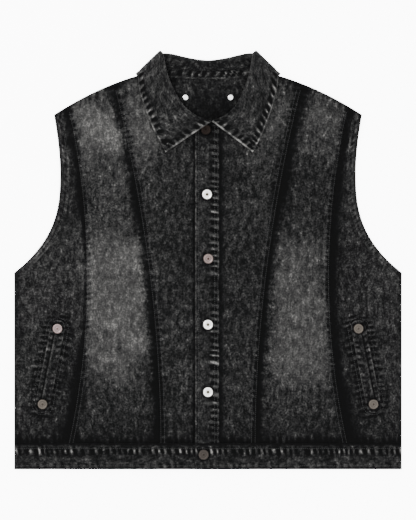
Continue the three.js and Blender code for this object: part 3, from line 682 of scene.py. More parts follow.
def panelPlan(edgeA, edgeB, isFront, toSide):
    pitch = panelLook["frontPitch" if isFront else "backPitch"]
    neckLine = frontNeckLine if isFront else backNeckLine
    wide = abs(float(edgeB(300.0) - edgeA(300.0)))
    u, sineX, cosineX = foldLines(int(wide / pitch) + 2, foldTurns if toSide else [])
    v, sineY, cosineY = foldLines(int(545 / pitch) + 1, foldTurns)
    u, v = np.meshgrid(u, v)
    sineY, cosineY = sineY[:, None], cosineY[:, None]
    margin = foldRadius if toSide else 0
    y = mix(cut["hemSeamY"], 580, v)
    for _ in range(12):  # the top depends on where each line runs, so the two are settled in steps
        x = mix(edgeA(y), edgeB(y) - margin, u) + foldRadius * cosineX
        top = np.where(np.abs(x) < cut["neckX"], neckLine(x) - gap["halfSeam"], shoulderY(x))
        y = mix(cut["hemSeamY"], top - foldRadius, v) + foldRadius * cosineY
    onSide = (1 - smooth(-8, 0, y - cut["armpitY"])) * (cosineX > 0)
    onShoulder = smooth(98, 110, np.abs(x)) * (cosineY > 0)
    spread = (1 - onSide * (1 - sineX)) * (1 - onShoulder * (1 - sineY))
    return x, y, spread, onSide * cosineX, onShoulder * cosineY


def panelWalls(edges, sign, isFront, toSide):
    x, y, spread, foldX, foldY = panelPlan(*edges, isFront, toSide)
    wx = sign * x
    radius = stackHeight(wx, y) / 2
    middle = lift(wx, y) + radius
    walls = []
    for layer in (0, 1):  # the face, then the wrong side
        rise = np.maximum((radius - layer * cloth["panel"]) * spread, gap["halfFold"])
        z = middle + rise if isFront else middle - rise
        if isFront and layer == 0:
            edge = 0.5 * bell(sideEdgeX(y) - x, 1.2) * smooth(316, 326, y)
            edge += 0.4 * bell(y - cut["hemSeamY"], 1.5)
            z += (frontDetail(wx, y) - edge) * spread
        if isFront:
            z += frontRelief(wx, y) * spread
        elif layer == 0:
            z = np.minimum(z + np.clip(backHollow(x, y, wx), 0, 0.95) * spread, middle - 0.2)
        px = sign * (x - layer * cloth["panel"] * foldX)
        walls.append(np.stack([px, y - layer * cloth["panel"] * foldY, z], -1))
    return walls, wx, y


def frontPanelWash(wx, y):
    side = sideEdgeX(y) - np.abs(wx)
    laps, hemLines = 0, 0
    for seam in (frontInnerSeam, frontOuterSeam):
        off = np.abs(wx) - seam(y)
        laps += 0.16 * bell(off + 9.6, 1.3) * (0.5 + 0.5 * clouds(wx, y, 13, 41))
    for line in (1.2, 6.0, 13.5):
        hemLines += 0.36 * bell(side - line, 1.3) * (0.6 + 0.6 * clouds(wx, y, 12, 42))
    wash = frontWash(wx, y) + 0.8 * seamRopes(wx, y) + laps + hemLines * smooth(318, 334, y)
    rim = pocketRim(wx, y)
    wash = wash - 0.16 * bell(rim - 5, 9) + 0.12 * bell(rim - 12.5, 1.2) * clouds(wx, y, 11, 43)
    return wash, 0.3


def backPanelWash(wx, y):
    out = np.abs(wx)
    off = np.minimum(np.abs(out - backInnerSeam(y) + 5), np.abs(out - backOuterSeam(y) + 5))
    ripple = ropes(y + 33 * (wx < 0), off, 9.2, 6.5, 111)
    ripple += ropes(wx, y - cut["hemSeamY"] - 5, 10.5, 8, 112)
    wash = backWash(wx, y) - 0.24 * ripple
    wash += 0.16 * bell(sideEdgeX(y) - out - 6.5, 1.3) * smooth(318, 334, y)
    # The inside of the back is painted darker over the patch's area, as shade seen through the neck opening.
    inPatch = (out < under["patchTop"]) & (y > under["patchLow"]) & (y < under["patchHigh"])
    return wash, 0.32 + 0.08 * clouds(wx, y, 20, 44) - 0.12 * inPatch


def addPanel(name, edges, sign, material, tint=0.0, turn=0.0):
    isFront, toSide = name.startswith("front"), "side" in name
    walls, wx, y = panelWalls(edges, sign, isFront, toSide)
    wash, washInner = frontPanelWash(wx, y) if isFront else backPanelWash(wx, y)
    c, s = math.cos(turn), math.sin(turn)
    uv = np.stack([wx * c - y * s, wx * s + y * c], -1)
    panel = wallMesh(name + "Cloth", *walls, wash + tint, washInner, uv, material)
    keep(panel, [name])


def shift(edge, by):
    return lambda y: edge(y) + by


def placketSeam(y):
    return placketSeamX + 0 * np.asarray(y, float)


bodyPanels = {  # the seams on either side, which denim, its tint, and how the cloth lay when it was cut
    "back_middle": dict(edges=(backInnerSeam, backOuterSeam), denim=2, tint=0.0, turn=-1),
    "back_side": dict(edges=(backOuterSeam, sideEdgeX), denim=3, tint=-0.02, turn=1),
    "front_centre": dict(edges=(placketSeam, frontInnerSeam), denim=0, tint=-0.01, turn=1),
    "front_middle": dict(edges=(frontInnerSeam, frontOuterSeam), denim=1, tint=0.0, turn=-1),
    "front_side": dict(edges=(frontOuterSeam, sideEdgeX), denim=2, tint=-0.02, turn=1),
}


def addBody():
    half = gap["halfSeam"]
    centre = (lambda y: half - backInnerSeam(y), shift(backInnerSeam, -half))
    addPanel("back_centre", centre, 1, denims[1])
    for layer in ("back", "front"):
        for side, sign, lean in (("right", -1, 0.03), ("left", 1, -0.04)):
            for name, look in bodyPanels.items():
                if not name.startswith(layer):
                    continue
                inner, outer = look["edges"]
                edges = (shift(inner, half), outer if outer is sideEdgeX else shift(outer, -half))
                turn = look["turn"] * lean
                addPanel(f"{name}_{side}", edges, sign, denims[look["denim"]], look["tint"], turn)
        print(layer, "panels made")


# Button stand: a strip that lies under, and the placket that laps over it

placketLook = dict(pitch=1.7, rowX=10.8, rope=0.7, ropePitch=11.0, ropeWide=7.0, edgeWear=0.42)


def stripGrid(left, right, low, high, pitch):
    xs = np.linspace(left, right, int((right - left) / pitch) + 2)
    ys = np.linspace(low, high, int((high - low) / pitch) + 2)
    return np.meshgrid(xs, ys)


def placketRow(x, y):
    look = placketLook
    return ropes(y, x - look["rowX"], look["ropePitch"], look["ropeWide"], 121)


def addButtonStand():
    look = placketLook
    low, high = cut["hemSeamY"], cut["frontNeckY"] - gap["halfSeam"]
    x, y = stripGrid(-placketSeamX + 0.15, placketEdgeX, low, high, 2.6)
    bottom = underPlacketBottom(x, y)
    grids = layers(x, y, bottom + cloth["placket"], bottom)
    strip = wallMesh("buttonStandCloth", *grids, 0.22, 0.2, np.stack([x, y], -1), shadedDenim)
    keep(strip, ["button_band_under"])
    x, y = stripGrid(-placketEdgeX, placketSeamX - 0.15, low, high, look["pitch"])
    bottom = placketBottom(x, y)
    row = placketRow(x, y)
    edge = x + placketEdgeX
    join = placketSeamX - x
    fine = 0.12 * clouds(x, y, 9, 122)
    top = bottom + cloth["placket"] + frontRelief(x, y) * 0.6 + look["rope"] * row + fine
    top = top - 0.7 * bell(edge, 1.1) - 0.5 * bell(join, 1.0)
    top = top - 0.22 * bell(edge - 6, 0.8) - 0.25 * bell(x - look["rowX"], 0.8)
    top += 0.22 * ropes(y + 70, edge - 4, 9.4, 4, 123)
    wash = 0.38 + 0.06 * clouds(x, y, 22, 124) + 0.64 * row + 0.14 * np.maximum(row, 0) ** 2
    wash -= 0.2 * bell(x - look["rowX"], 7)
    wash += 0.12 * ropes(y + 70, edge - 4, 9.4, 4, 123)
    worn = 0.6 + 0.6 * clouds(x, y, 15, 125)
    wash += look["edgeWear"] * bell(edge - 1.2, 1.0) * worn
    wash += 0.45 * bell(join - 0.9, 1.0) * (0.5 + 0.6 * clouds(x, y, 12, 126))
    # The darkening from y 505 upwards is painted shadow under the collar.
    wash = wash - 0.14 * bell(y - 52, 12) - 0.2 * smooth(505, 560, y)
    # A painted shadow ring round each button, and a dip in the cloth under it.
    for button in frontButtons:
        ring = np.hypot(x - button["x"], y - button["y"])
        wash -= 0.2 * bell(ring - 9, 3)
        top -= 0.25 * np.exp(-((ring / 11) ** 4))
    grids = layers(x, y, np.maximum(top, bottom + 0.5), bottom)
    strip = wallMesh("placketCloth", *grids, wash, 0.2, np.stack([x + 7, y], -1), denims[3])
    keep(strip, ["placket"])
    print("button stand made")


# Hem band: two fronts and a back, closed at the side folds

bandLook = dict(pitch=2.0, stitchRows=(33.5, 6.0), rowY=29.5, rope=0.62, ropePitch=10.4, ropeWide=5.0)


def bandSurface(x, y, sign):  # relief and wash of the band's outer side
    look = bandLook
    upperRow, lowerRow = look["stitchRows"]
    row = ropes(x + (0 if sign > 0 else 50), y - look["rowY"], look["ropePitch"], look["ropeWide"], 131)
    foot = ropes(x + 20, y - lowerRow, 11.8, 4.5, 132)
    high = look["rope"] * row + 0.22 * foot + 0.14 * clouds(x, y, 12, 133)
    high = high - 0.3 * bell(y - upperRow, 0.9) - 0.25 * bell(y - lowerRow, 0.8)
    high = high - 0.7 * bell(y, 1.3) - 0.6 * bell(cut["bandTop"] - y, 1.2)
    wash = 0.375 + 0.06 * clouds(x, y, 26, 134) + 0.9 * row + 0.25 * np.maximum(row, 0) ** 2 + 0.26 * foot
    wash = wash - 0.24 * bell(y - 30, 7) - 0.42 * bell(cut["bandTop"] - y, 2.6)
    wash += 0.16 * bell(y - 36.2, 1.1) * (0.5 + 0.6 * clouds(x, y, 14, 135))
    wash -= 0.3 * bell(y, 2.2)
    return high, wash


def bandGrid(xs, angles, rows):
    x, angle = (np.broadcast_to(row, (rows, len(xs))) for row in (xs, angles))
    return x, angle, np.broadcast_to(np.linspace(0, cut["bandTop"], rows)[:, None], x.shape)


def addHemBand():
    turns = foldTurns
    foldStart = cut["halfChest"] - foldRadius
    folded = [foldStart + foldRadius * math.cos(a) for a in turns]
    start = -placketEdgeX
    fronts = (("hem_band_right", -1, False, denims[3]), ("hem_band_left", 1, True, denims[0]))
    for name, sign, overlaps, material in fronts:
        xs = np.concatenate([np.arange(start, foldStart, bandLook["pitch"]), [foldStart], folded])
        angles = np.array([math.pi / 2] * (len(xs) - len(turns)) + turns)
        u, angle, y = bandGrid(xs, angles, 21)
        wx = sign * u
        high, wash = bandSurface(wx, y, sign)
        top = frontBandBottom(wx, y, overlaps) + cloth["band"]
        middle = (top + lift(wx, y)) / 2
        free = u - start
        if overlaps:
            high -= 0.7 * bell(free, 1.1)
            wash += 0.3 * bell(free - 1.3, 1.0) * (0.5 + 0.6 * clouds(wx, y, 10, 136))
            # A painted shadow ring round the hem button.
            ring = np.hypot(wx - hemButton["x"], y - hemButton["y"])
            wash -= 0.22 * bell(ring - 9, 3)
        grids = []
        for layer in (0, 1):
            radius = top - middle - layer * cloth["band"]
            z = middle + np.maximum(radius * np.sin(angle), gap["halfFold"])
            if layer == 0:
                z = np.maximum(z + high * np.sin(angle), middle + gap["halfFold"])
            grids.append(np.stack([sign * (u - layer * cloth["band"] * np.cos(angle)), y, z], -1))
        uv = np.stack([y + 100 * sign, wx], -1)
        band = wallMesh(name + "Cloth", *grids, wash, 0.2, uv, material)
        keep(band, [name])
    flat = list(np.arange(-foldStart, foldStart + 0.1, 3.0))
    xs = np.array([-v for v in reversed(folded)] + flat + folded)
    angles = np.array(turns[::-1] + [math.pi / 2] * len(flat) + turns)
    x, angle, y = bandGrid(xs, angles, 17)
    high, wash = bandSurface(x, y, 1)
    base = lift(x, y)
    radius = (frontBandBottom(x, y, False) + cloth["band"] - base) / 2
    grids = []
    for layer in (0, 1):
        z = base + radius - np.maximum((radius - layer * cloth["band"]) * np.sin(angle), gap["halfFold"])
        if layer == 0:
            z += np.clip(0.45 - 0.7 * high, 0, 1.2) * np.sin(angle) ** 2
        grids.append(np.stack([x - np.sign(x) * layer * cloth["band"] * np.cos(angle), y, z], -1))
    band = wallMesh("hem_band_backCloth", *grids, wash, 0.2, np.stack([y, x], -1), denims[2])
    keep(band, ["hem_band_back"])
    print("hem band made")


# Collar: sections from the front end of the right leaf, round the back, to the end of the left leaf

collarLook = dict(
    roll=1.7, rest=1.7, standShare=0.45, meetRoll=6, meetPoint=2, rope=0.65, ropePitch=11.0, rowIn=7.5,
)
collarStations = dict(  # from the shoulder fold to the front end
    neckX=(101.5, 96, 86, 70, 47, 22, 3), rollX=(73.8, 70.5, 65.5, 55.4, 42.6, 24.0, 1.2),
    rollY=(667.9, 649.5, 628.8, 603.8, 583, 567.5, 558.6), rollZ=(10.3, 10.6, 10.8, 11, 11.2, 11.8, 12.6),
    edgeX=(113.5, 110.5, 104, 97, 89.5, 80, 70), edgeY=(633, 609, 586, 567, 548, 528, 510),
)
collarFold = dict(
    normal=np.array([0.716, 0.698, 0]),
    neck=(np.array([101.5, 634.5, 5.4]), 2.2),
    roll=(np.array([73.8, 667.9, 7.3]), 3.0),
    edge=(np.array([113.5, 633, 5.35]), 4.4),
)
backCollar = dict(topY=658.5, topRise=15.3, halfTop=80, seamZ=3.3, rollZ=4.3, flatZ=0.95)


def station(t, key):  # smooth curve through the stations, which run on in line past either end
    row = collarStations[key]
    last = len(row) - 1
    row = (2 * row[0] - row[1], *row, 2 * row[-1] - row[-2])
    place = min(max(t * last, 0), last)
    i = min(int(place), last - 1)
    f = place - i
    a, b, c, d = row[i:i + 4]
    return b + 0.5 * f * (c - a + f * (2 * a - 5 * b + 4 * c - d + f * (3 * (b - c) + d - a)))


def collarSection(sign, kind, t):
    s = {}
    if kind == "back":
        (neckFold, neckRadius), (rollFold, _), (edgeFold, _) = (
            collarFold[key] for key in ("neck", "roll", "edge")
        )
        x = rollFold[0] * t
        topY = backCollar["topY"] + backCollar["topRise"] * (x / backCollar["halfTop"]) ** 1.4
        rollY = mix(topY - collarLook["roll"] - cloth["collar"] / 2, rollFold[1], t**4)
        s["roll"] = np.array([x, rollY, backCollar["rollZ"]])
        neckX, edgeX = neckFold[0] * t, edgeFold[0] * t
        neckY = mix(backNeckLine(neckX) + 0.15, neckFold[1], t**6)
        s["neck"] = np.array([neckX, neckY, mix(backCollar["seamZ"], neckFold[2] - neckRadius, t)])
        edgeY = mix(float(backCollarEdge(edgeX)), edgeFold[1], t**4)
        s["edge"] = np.array([edgeX, edgeY, backCollar["flatZ"]])
        s["out"] = np.array([0, 0, -1.0])
    elif kind == "fold":
        s["out"] = collarFold["normal"] * math.cos(t) + np.array([0, 0, math.sin(t)])
        for key in ("neck", "roll", "edge"):
            centre, radius = collarFold[key]
            s[key] = centre + s["out"] * radius
    else:
        neckX = station(t, "neckX") + sign * collarLook["meetRoll"] * t * t
        neckY = float(frontNeckLine(neckX)) + 1.2
        neckZ = float(frontTop(sign * neckX, neckY - 1)) - cloth["panel"] / 2
        foldZ = collarFold["neck"][0][2] + collarFold["neck"][1]
        s["neck"] = np.array([neckX, neckY, mix(foldZ, neckZ, float(smooth(0, 0.2, t)))])
        s["roll"] = np.array([station(t, "rollX"), station(t, "rollY"), station(t, "rollZ")])
        s["edge"] = np.array([station(t, "edgeX"), station(t, "edgeY"), 0.0])
        s["out"] = np.array([0, 0, 1.0])
    for key in ("neck", "roll", "edge", "out"):
        s[key] = s[key] * [sign, 1, 1]
    if kind == "front":
        s["roll"][0] += collarLook["meetRoll"] * t * t
        s["edge"][0] += collarLook["meetPoint"] * t
        rest = float(frontTop(s["edge"][0], s["edge"][1])) + collarLook["rest"]
        foldZ = collarFold["edge"][0][2] + collarFold["edge"][1]
        s["edge"][2] = mix(foldZ, rest, float(smooth(0, 0.17, t)))
    return s


def collarSections(backSteps, foldSteps, frontSteps):
    half = [("back", (i + 1) / backSteps) for i in range(backSteps)]
    half += [("fold", math.radians(a)) for a in np.linspace(-90, 90, foldSteps + 2)[1:-1]]
    half += [("front", i / frontSteps) for i in range(frontSteps + 1)]
    right = [collarSection(-1, *place) for place in reversed(half)]
    return right + [collarSection(1, "back", 0)] + [collarSection(1, *place) for place in half]


def collarSeamPoint(s, offset):
    along = s["roll"] - s["neck"]
    seam = s["neck"] + along * collarLook["standShare"]
    return seam + offset * along / np.linalg.norm(along)


def fallPoints(s, upSteps, turnSteps, downSteps):
    seam, roll, edge, out = collarSeamPoint(s, 0.3), s["roll"], s["edge"], s["out"]
    along = (roll - s["neck"]) / np.linalg.norm(roll - s["neck"])
    line = [mix(seam, roll, i / upSteps) for i in range(upSteps + 1)]
    for i in range(1, turnSteps + 1):
        turn = math.pi * i / turnSteps
        line.append(roll + collarLook["roll"] * (along * math.sin(turn) + out * (1 - math.cos(turn))))
    start = line[-1]
    for i in range(1, downSteps + 1):
        share = i / downSteps
        line.append(mix(start, edge, share))
        if out[2] > 0.99:
            bulge = 1.2 * math.sin(math.pi * share)
            p = line[-1]
            rest = float(frontTop(p[0], p[1])) + collarLook["rest"]
            p[2] = max(p[2] + bulge, rest)
    return line


def shellNormals(grid):
    rows, columns = np.gradient(grid, axis=0), np.gradient(grid, axis=1)
    normal = np.cross(rows, columns)
    return normal / np.maximum(np.linalg.norm(normal, axis=2, keepdims=True), 1e-9)


def runLength(grid, axis):
    steps = np.linalg.norm(np.diff(grid, axis=axis), axis=2)
    pad = [(0, 0), (0, 0)]
    pad[axis] = (1, 0)
    return np.cumsum(np.pad(steps, pad), axis=axis)


def addCollar():
    look = collarLook
    sections = collarSections(backSteps=26, foldSteps=9, frontSteps=62)
    tops = [collarSeamPoint(s, -0.3) for s in sections]
    stand = np.array([[mix(s["neck"], top, i / 8) for i in range(9)] for s, top in zip(sections, tops)])
    normal = shellNormals(stand)
    along, across = runLength(stand, 0), runLength(stand, 1)
    standRow = ropes(along, across - 8, 13, 4.5, 149)
    high = 0.12 * clouds(along, across, 12, 141) + 0.25 * standRow
    grids = [stand + normal * (cloth["stand"] / 2 + high[..., None]), stand - normal * cloth["stand"] / 2]
    # The stand's low base wash is painted shade inside the neck.
    wash = 0.32 + 0.7 * standRow + 0.35 * bell(across - 1, 1.1)
    piece = wallMesh("collarStandCloth", *grids, wash, wash, np.stack([across, along], -1), shadedDenim)
    keep(piece, ["collar_stand"])

    fall = np.array([fallPoints(s, upSteps=8, turnSteps=8, downSteps=34) for s in sections])
    normal = shellNormals(fall)
    along, across = runLength(fall, 0), runLength(fall, 1)
    length = along[-1, -1]
    middle = along[:, -1:] + 0 * across
    toEdge = across[:, -1:] - across
    toEnds = np.minimum(along, along[-1:] - along)
    edgeRow = ropes(middle, toEdge - look["rowIn"], look["ropePitch"], 5.0, 142)
    endRow = ropes(across + 60, toEnds - look["rowIn"], look["ropePitch"], 5.0, 143)
    neckRow = ropes(middle + 30, across - 9, 9.0, 5.5, 144) * (1 - smooth(20, 30, across))
    ripple = edgeRow * smooth(0, 10, toEnds) + endRow * smooth(0, 10, toEdge)
    high = look["rope"] * ripple + 0.5 * neckRow + 0.15 * clouds(middle, across, 17, 145)
    high = high - 0.45 * bell(toEdge, 1.0) - 0.45 * bell(toEnds, 1.0)
    high = high - 0.22 * bell(toEdge - look["rowIn"], 0.8) - 0.22 * bell(toEnds - look["rowIn"], 0.8)
    wave = 0.5 * clouds(middle, across * 0.7, 42, 146) * smooth(8, 30, across)
    onFrontSide = np.array([1.0 if s["out"][2] > 0.99 else 0.0 for s in sections])
    lifted = fall + normal * (wave * onFrontSide[:, None])[..., None]
    outer = lifted + normal * (cloth["collar"] / 2 + high[..., None])
    inner = lifted - normal * cloth["collar"] / 2
    outer[..., 2] = np.maximum(outer[..., 2], 0.03)
    inner[..., 2] = np.maximum(inner[..., 2], 0.6)
    wash = 0.42 + 0.06 * clouds(middle, across, 30, 147)
    wash = wash + 0.72 * ripple + 0.3 * np.maximum(ripple, 0) ** 2 + 0.2 * neckRow
    wash = wash - 0.24 * bell(toEdge - 8, 6) - 0.24 * bell(toEnds - 8, 6)
    worn = 0.75 + 0.5 * clouds(middle, across, 13, 148)
    nearPoints = 0.55 + 0.45 * smooth(120, 0, np.minimum(middle, length - middle))
    wash += 0.75 * bell(toEdge - 1.0, 1.6) * worn * nearPoints
    wash += 0.95 * bell(toEnds - 1.0, 1.8) * worn
    wash += 0.1 * bell(across - across[:, 12:13], 4)
    # Darker near the stand seam: painted shade inside the neck.
    wash -= 0.12 * (1 - smooth(8, 26, across))
    uv = np.stack([across, middle], -1)
    piece = wallMesh("collarFallCloth", outer, inner, wash, 0.2, uv, denims[1], sharp=60)
    keep(piece, ["collar_fall"])
    print("collar made")


# Slanted pocket welts on the side panels

weltLook = dict(rows=110, columns=26, rope=0.35, ropePitch=9.0, buttonRadius=7.9)


def addPockets():
    sides = (("right", -1), ("left", 1))
    for side, sign in sides:
        overhang = pocket["overhang"]
        place = np.linspace(-overhang, pocketSlant + overhang, weltLook["rows"])[:, None]
        past = np.maximum(0, np.maximum(-place, place - pocketSlant))
        half = pocket["half"] * np.sqrt(1 - 0.9 * (past / overhang) ** 2)
        across = np.linspace(-1, 1, weltLook["columns"])[None, :] * half
        place = np.broadcast_to(place, across.shape)
        px = sign * (pocket["footX"] + pocketUx * place + pocketUy * across)
        py = pocket["footY"] + pocketUy * place - pocketUx * across
        bottom = frontTop(px, py) + cloth["air"] + frontRelief(px, py) + 0.15
        edge = half - np.abs(across)
        ends = np.minimum(place, pocketSlant - place) + overhang
        rim = np.minimum(edge, ends)
        around = place + (31 if sign > 0 else 0) + 12 * (across > 0)
        ripple = ropes(around, edge - 4.5, weltLook["ropePitch"], 4, 151)
        between = smooth(4, 16, place) * (1 - smooth(pocketSlant - 16, pocketSlant - 4, place))
        slit, lip = bell(across - 4.2, 1.1) * between, bell(across - 1.6, 1.4) * between
        high = weltLook["rope"] * ripple - 0.6 * bell(rim, 1.0) - 0.9 * slit + 0.35 * lip
        high += 0.15 * clouds(px, py, 9, 152)
        # The slit is painted darker as shade in the opening.
        wash = 0.33 + 0.05 * clouds(px, py, 16, 153) + 0.32 * ripple - 0.4 * slit
        wash += 0.42 * lip * (0.55 + 0.5 * clouds(px, py, 10, 154))
        wash += 0.3 * bell(rim - 0.9, 0.9) * (0.5 + 0.6 * clouds(px, py, 11, 155))
        # A painted shadow ring round each tack, and a dip in the cloth under it.
        for tack in (0, pocketSlant):
            ring = np.hypot(across, place - tack)
            wash -= 0.2 * bell(ring - 9.5, 2.5)
            high -= 0.25 * np.exp(-((ring / 10) ** 4))
        top = np.maximum(bottom + pocket["thick"] + high, bottom + 0.4)
        grids = layers(px, py, top, bottom)
        uv = np.stack([across, place], -1)
        welt = wallMesh(f"pocketWelt{side.title()}Cloth", *grids, wash, 0.2, uv, denims[2])
        keep(welt, [f"pocket_welt_{side}"])
        for k, name in enumerate(("top", "foot")):
            x, y = sign * pocket[name + "X"], pocket[name + "Y"]
            panel = float(frontTop(x, y)) + cloth["air"]
            face = panel + pocket["thick"] + cloth["air"]
            metal = metals["pinkReflectionTack" if sign < 0 and k == 0 else "dullTack"]
            addButton(f"pocket_button_{side}_{k + 1}", x, y, panel, face, metal, weltLook["buttonRadius"])
    print("pockets made")


# Buttons: a rolled rim, a dished face with a ring, and a centre pin with a slot

def latheMesh(name, profile, x, y, z, material, turn=0.0, segments=40, slot=None, wobble=0.0):
    radius = np.array([p[0] for p in profile])
    height = np.array([p[1] for p in profile])
    angles = np.arange(segments) / segments * 2 * math.pi + turn
    inner = radius[1:-1]
    heights = np.repeat(height[1:-1, None], segments, 1)
    ring = np.stack([inner[:, None] * np.cos(angles), inner[:, None] * np.sin(angles), heights], -1)
    if slot:  # a straight groove across the pin
        wide, deep, long = slot
        across = np.abs(-ring[..., 0] * math.sin(turn + 0.6) + ring[..., 1] * math.cos(turn + 0.6))
        near = (np.hypot(ring[..., 0], ring[..., 1]) < long) & (ring[..., 2] > height[-1] - 1.2)
        ring[..., 2] -= deep * bell(across, wide) * near
    if wobble:
        ring[..., 2] += wobble * clouds(ring[..., 0] + x, ring[..., 1] + y, 4, 161)
    count = len(inner)
    crown = height[-1] - (slot[1] if slot else 0)
    points = np.array([[0, 0, height[0]]] + ring.reshape(-1, 3).tolist() + [[0, 0, crown]])
    faces = [[0, 1 + (j + 1) % segments, 1 + j] for j in range(segments)]
    for i in range(count - 1):
        for j in range(segments):
            a, b = 1 + i * segments + j, 1 + i * segments + (j + 1) % segments
            faces.append([a, b, b + segments, a + segments])
    top, last = len(points) - 1, 1 + (count - 1) * segments
    faces += [[last + j, last + (j + 1) % segments, top] for j in range(segments)]
    mesh = bpy.data.meshes.new(name)
    mesh.from_pydata(((points + [x, y + hemY, z]) * mm).tolist(), [], faces)
    reach = np.hypot(points[:, 0], points[:, 1])
    mesh.attributes.new("radius", "FLOAT", "POINT").data.foreach_set("value", reach)
    mesh.polygons.foreach_set("use_smooth", [True] * len(faces))
    mesh.set_sharp_from_angle(angle=math.radians(55))
    mesh.materials.append(material)
    return addObject(name, mesh)


buttonShape = dict(
    radius=8.3, shank=2.6, slot=(0.42, 0.35, 2.2),
    rim=(  # inset from the edge, and height above the face's lower side
        (1.2, 0), (0.35, 0.25), (0, 0.8), (0.12, 1.3), (0.6, 1.75),
        (1.3, 2.0), (2.1, 1.9), (2.7, 1.5), (3.4, 1.25),
    ),
    face=(  # radius and height of the inner ring and the pin
        (3.6, 1.2), (3.2, 1.35), (2.7, 1.25), (2.0, 1.4), (1.7, 1.9), (1.2, 2.15), (0.6, 2.22), (0, 2.25),
    ),
)


def addButton(node, x, y, seat, faceBottom, material, radius=buttonShape["radius"]):
    h = faceBottom - seat
    profile = [(0, 0), (buttonShape["shank"], 0), (buttonShape["shank"], h)]
    profile += [(radius - inset, h + high) for inset, high in buttonShape["rim"]]
    profile += [(out, h + high) for out, high in buttonShape["face"]]
    turn = 1.3 * math.sin(x * 0.7 + y * 0.013)
    slot = buttonShape["slot"]
    button = latheMesh(node + "Metal", profile, x, y, seat, material, turn, slot=slot, wobble=0.05)
    keep(button, [node])


frontButtons = [
    dict(node="button_1", x=-3.5, y=546.5, metal="shadedTack"),
    dict(node="button_2", x=-1.5, y=442.5, metal="silverButton"),
    dict(node="button_3", x=0.5, y=339, metal="roseReflectionButton"),
    dict(node="button_4", x=0, y=233, metal="silverButton"),
    dict(node="button_5", x=0, y=124.5, metal="silverButton"),
]
hemButton = dict(node="button_6", x=-7, y=24, metal="hemTack")


def addFrontButtons():
    for b in frontButtons:
        seat = float(underPlacketBottom(b["x"], b["y"])) + cloth["placket"] + cloth["air"]
        top = float(placketBottom(b["x"], b["y"])) + cloth["placket"] + cloth["air"]
        addButton(b["node"], b["x"], b["y"], seat, top, metals[b["metal"]])
    x, y = hemButton["x"], hemButton["y"]
    seat, top = (
        float(frontBandBottom(x, y, upper)) + cloth["band"] + cloth["air"] for upper in (False, True)
    )
    addButton(hemButton["node"], x, y, seat, top, metals[hemButton["metal"]])
    print("buttons made")


# Outside of the back: the patch, its rivets and the leather label

rivets = [dict(x=-36.5, y=598.5), dict(x=36.5, y=598.5), dict(x=-33, y=559.5), dict(x=33, y=559.5)]


def addBackTrim():
    u, v = np.meshgrid(np.linspace(-1, 1, 62), np.linspace(0, 1, 40))
    y = mix(under["patchLow"], under["patchHigh"], v)
    half = mix(under["patchFoot"], under["patchTop"], v)
    x = u * half
    rim = np.minimum(half - np.abs(x), np.minimum(y - under["patchLow"], under["patchHigh"] - y))
    upperRow, lowerRow = (row for row, _ in stitchLook["patchRows"])
    ripple = ropes(x, y - upperRow, 8.2, 4.5, 171) + ropes(x + 40, y - lowerRow, 8.2, 4.5, 172)
    hollow = 0.25 * (1 + ripple) + 0.5 * bell(rim, 1.0) + 0.2 * bell(rim - 4, 0.8)
    low = under["rivetHead"] + cloth["air"]
    high = low + cloth["patch"] + 0 * x
    wash = 0.28 + 0.05 * clouds(x, y, 18, 173) + 0.6 * ripple + 0.42 * bell(rim - 1.1, 1.1)
    # A painted shadow ring round each rivet.
    for r in rivets:
        ring = np.hypot(x - r["x"], y - r["y"])
        wash -= 0.25 * bell(ring - 6, 2)
        hollow = hollow * (1 - np.exp(-((ring / 6) ** 4)))
    grids = layers(x, y, low + np.clip(hollow, 0, 0.9), high)
    patch = wallMesh("backPatchCloth", *grids, wash, 0.2, np.stack([x, y], -1), denims[0])
    keep(patch, ["back_patch"])
    capZ = patchLift() + cloth["panel"] + cloth["air"]
    head = under["rivetHead"]
    profile = [(0, 0.0), (1.2, 0.0), (1.5, 0.16), (2.2, 0.1), (3.6, 0.04), (4.7, 0.3), (5.05, 0.6)]
    profile += [(5.0, head), (1.6, head), (1.6, capZ), (4.3, capZ)]
    crown = ((4.4, 0.3), (4.1, 0.6), (3.0, 1.0), (1.5, 1.15), (0, 1.2))
    profile += [(out, capZ + high) for out, high in crown]
    for k, r in enumerate(rivets):
        metal = metals["brightRivet"]
        rivet = latheMesh(f"rivet_{k + 1}Metal", profile, r["x"], r["y"], 0, metal, turn=0.3 * k, segments=32)
        keep(rivet, [f"rivet_{k + 1}"])
    left, right, foot, top = (under[k] for k in ("labelLeft", "labelRight", "labelLow", "labelHigh"))
    u, v = np.meshgrid(np.linspace(0, 1, 44), np.linspace(0, 1, 28))
    x, y = mix(left, right, u), mix(foot, top, v)
    rim = np.minimum(np.minimum(x - left, right - x), np.minimum(y - foot, top - y))
    hollow = 0.35 * bell(rim, 0.9) + 0.25 * bell(rim - 3.2, 0.7)
    hollow += 0.08 * (1 + clouds(x, y, 8, 174))
    wash = 0.28 + 0.06 * clouds(x, y, 14, 175) - 0.32 * bell(rim, 1.6) - 0.1 * bell(rim - 3.2, 0.9)
    grids = layers(x, y, hollow, cloth["leather"] + 0 * x)
    label = wallMesh("leatherLabel", *grids, wash, 0.2, np.stack([x, y], -1), leather)
    keep(label, ["leather_label"])
    print("back trim made")


# Stitches: short threads set along lines that follow the seams

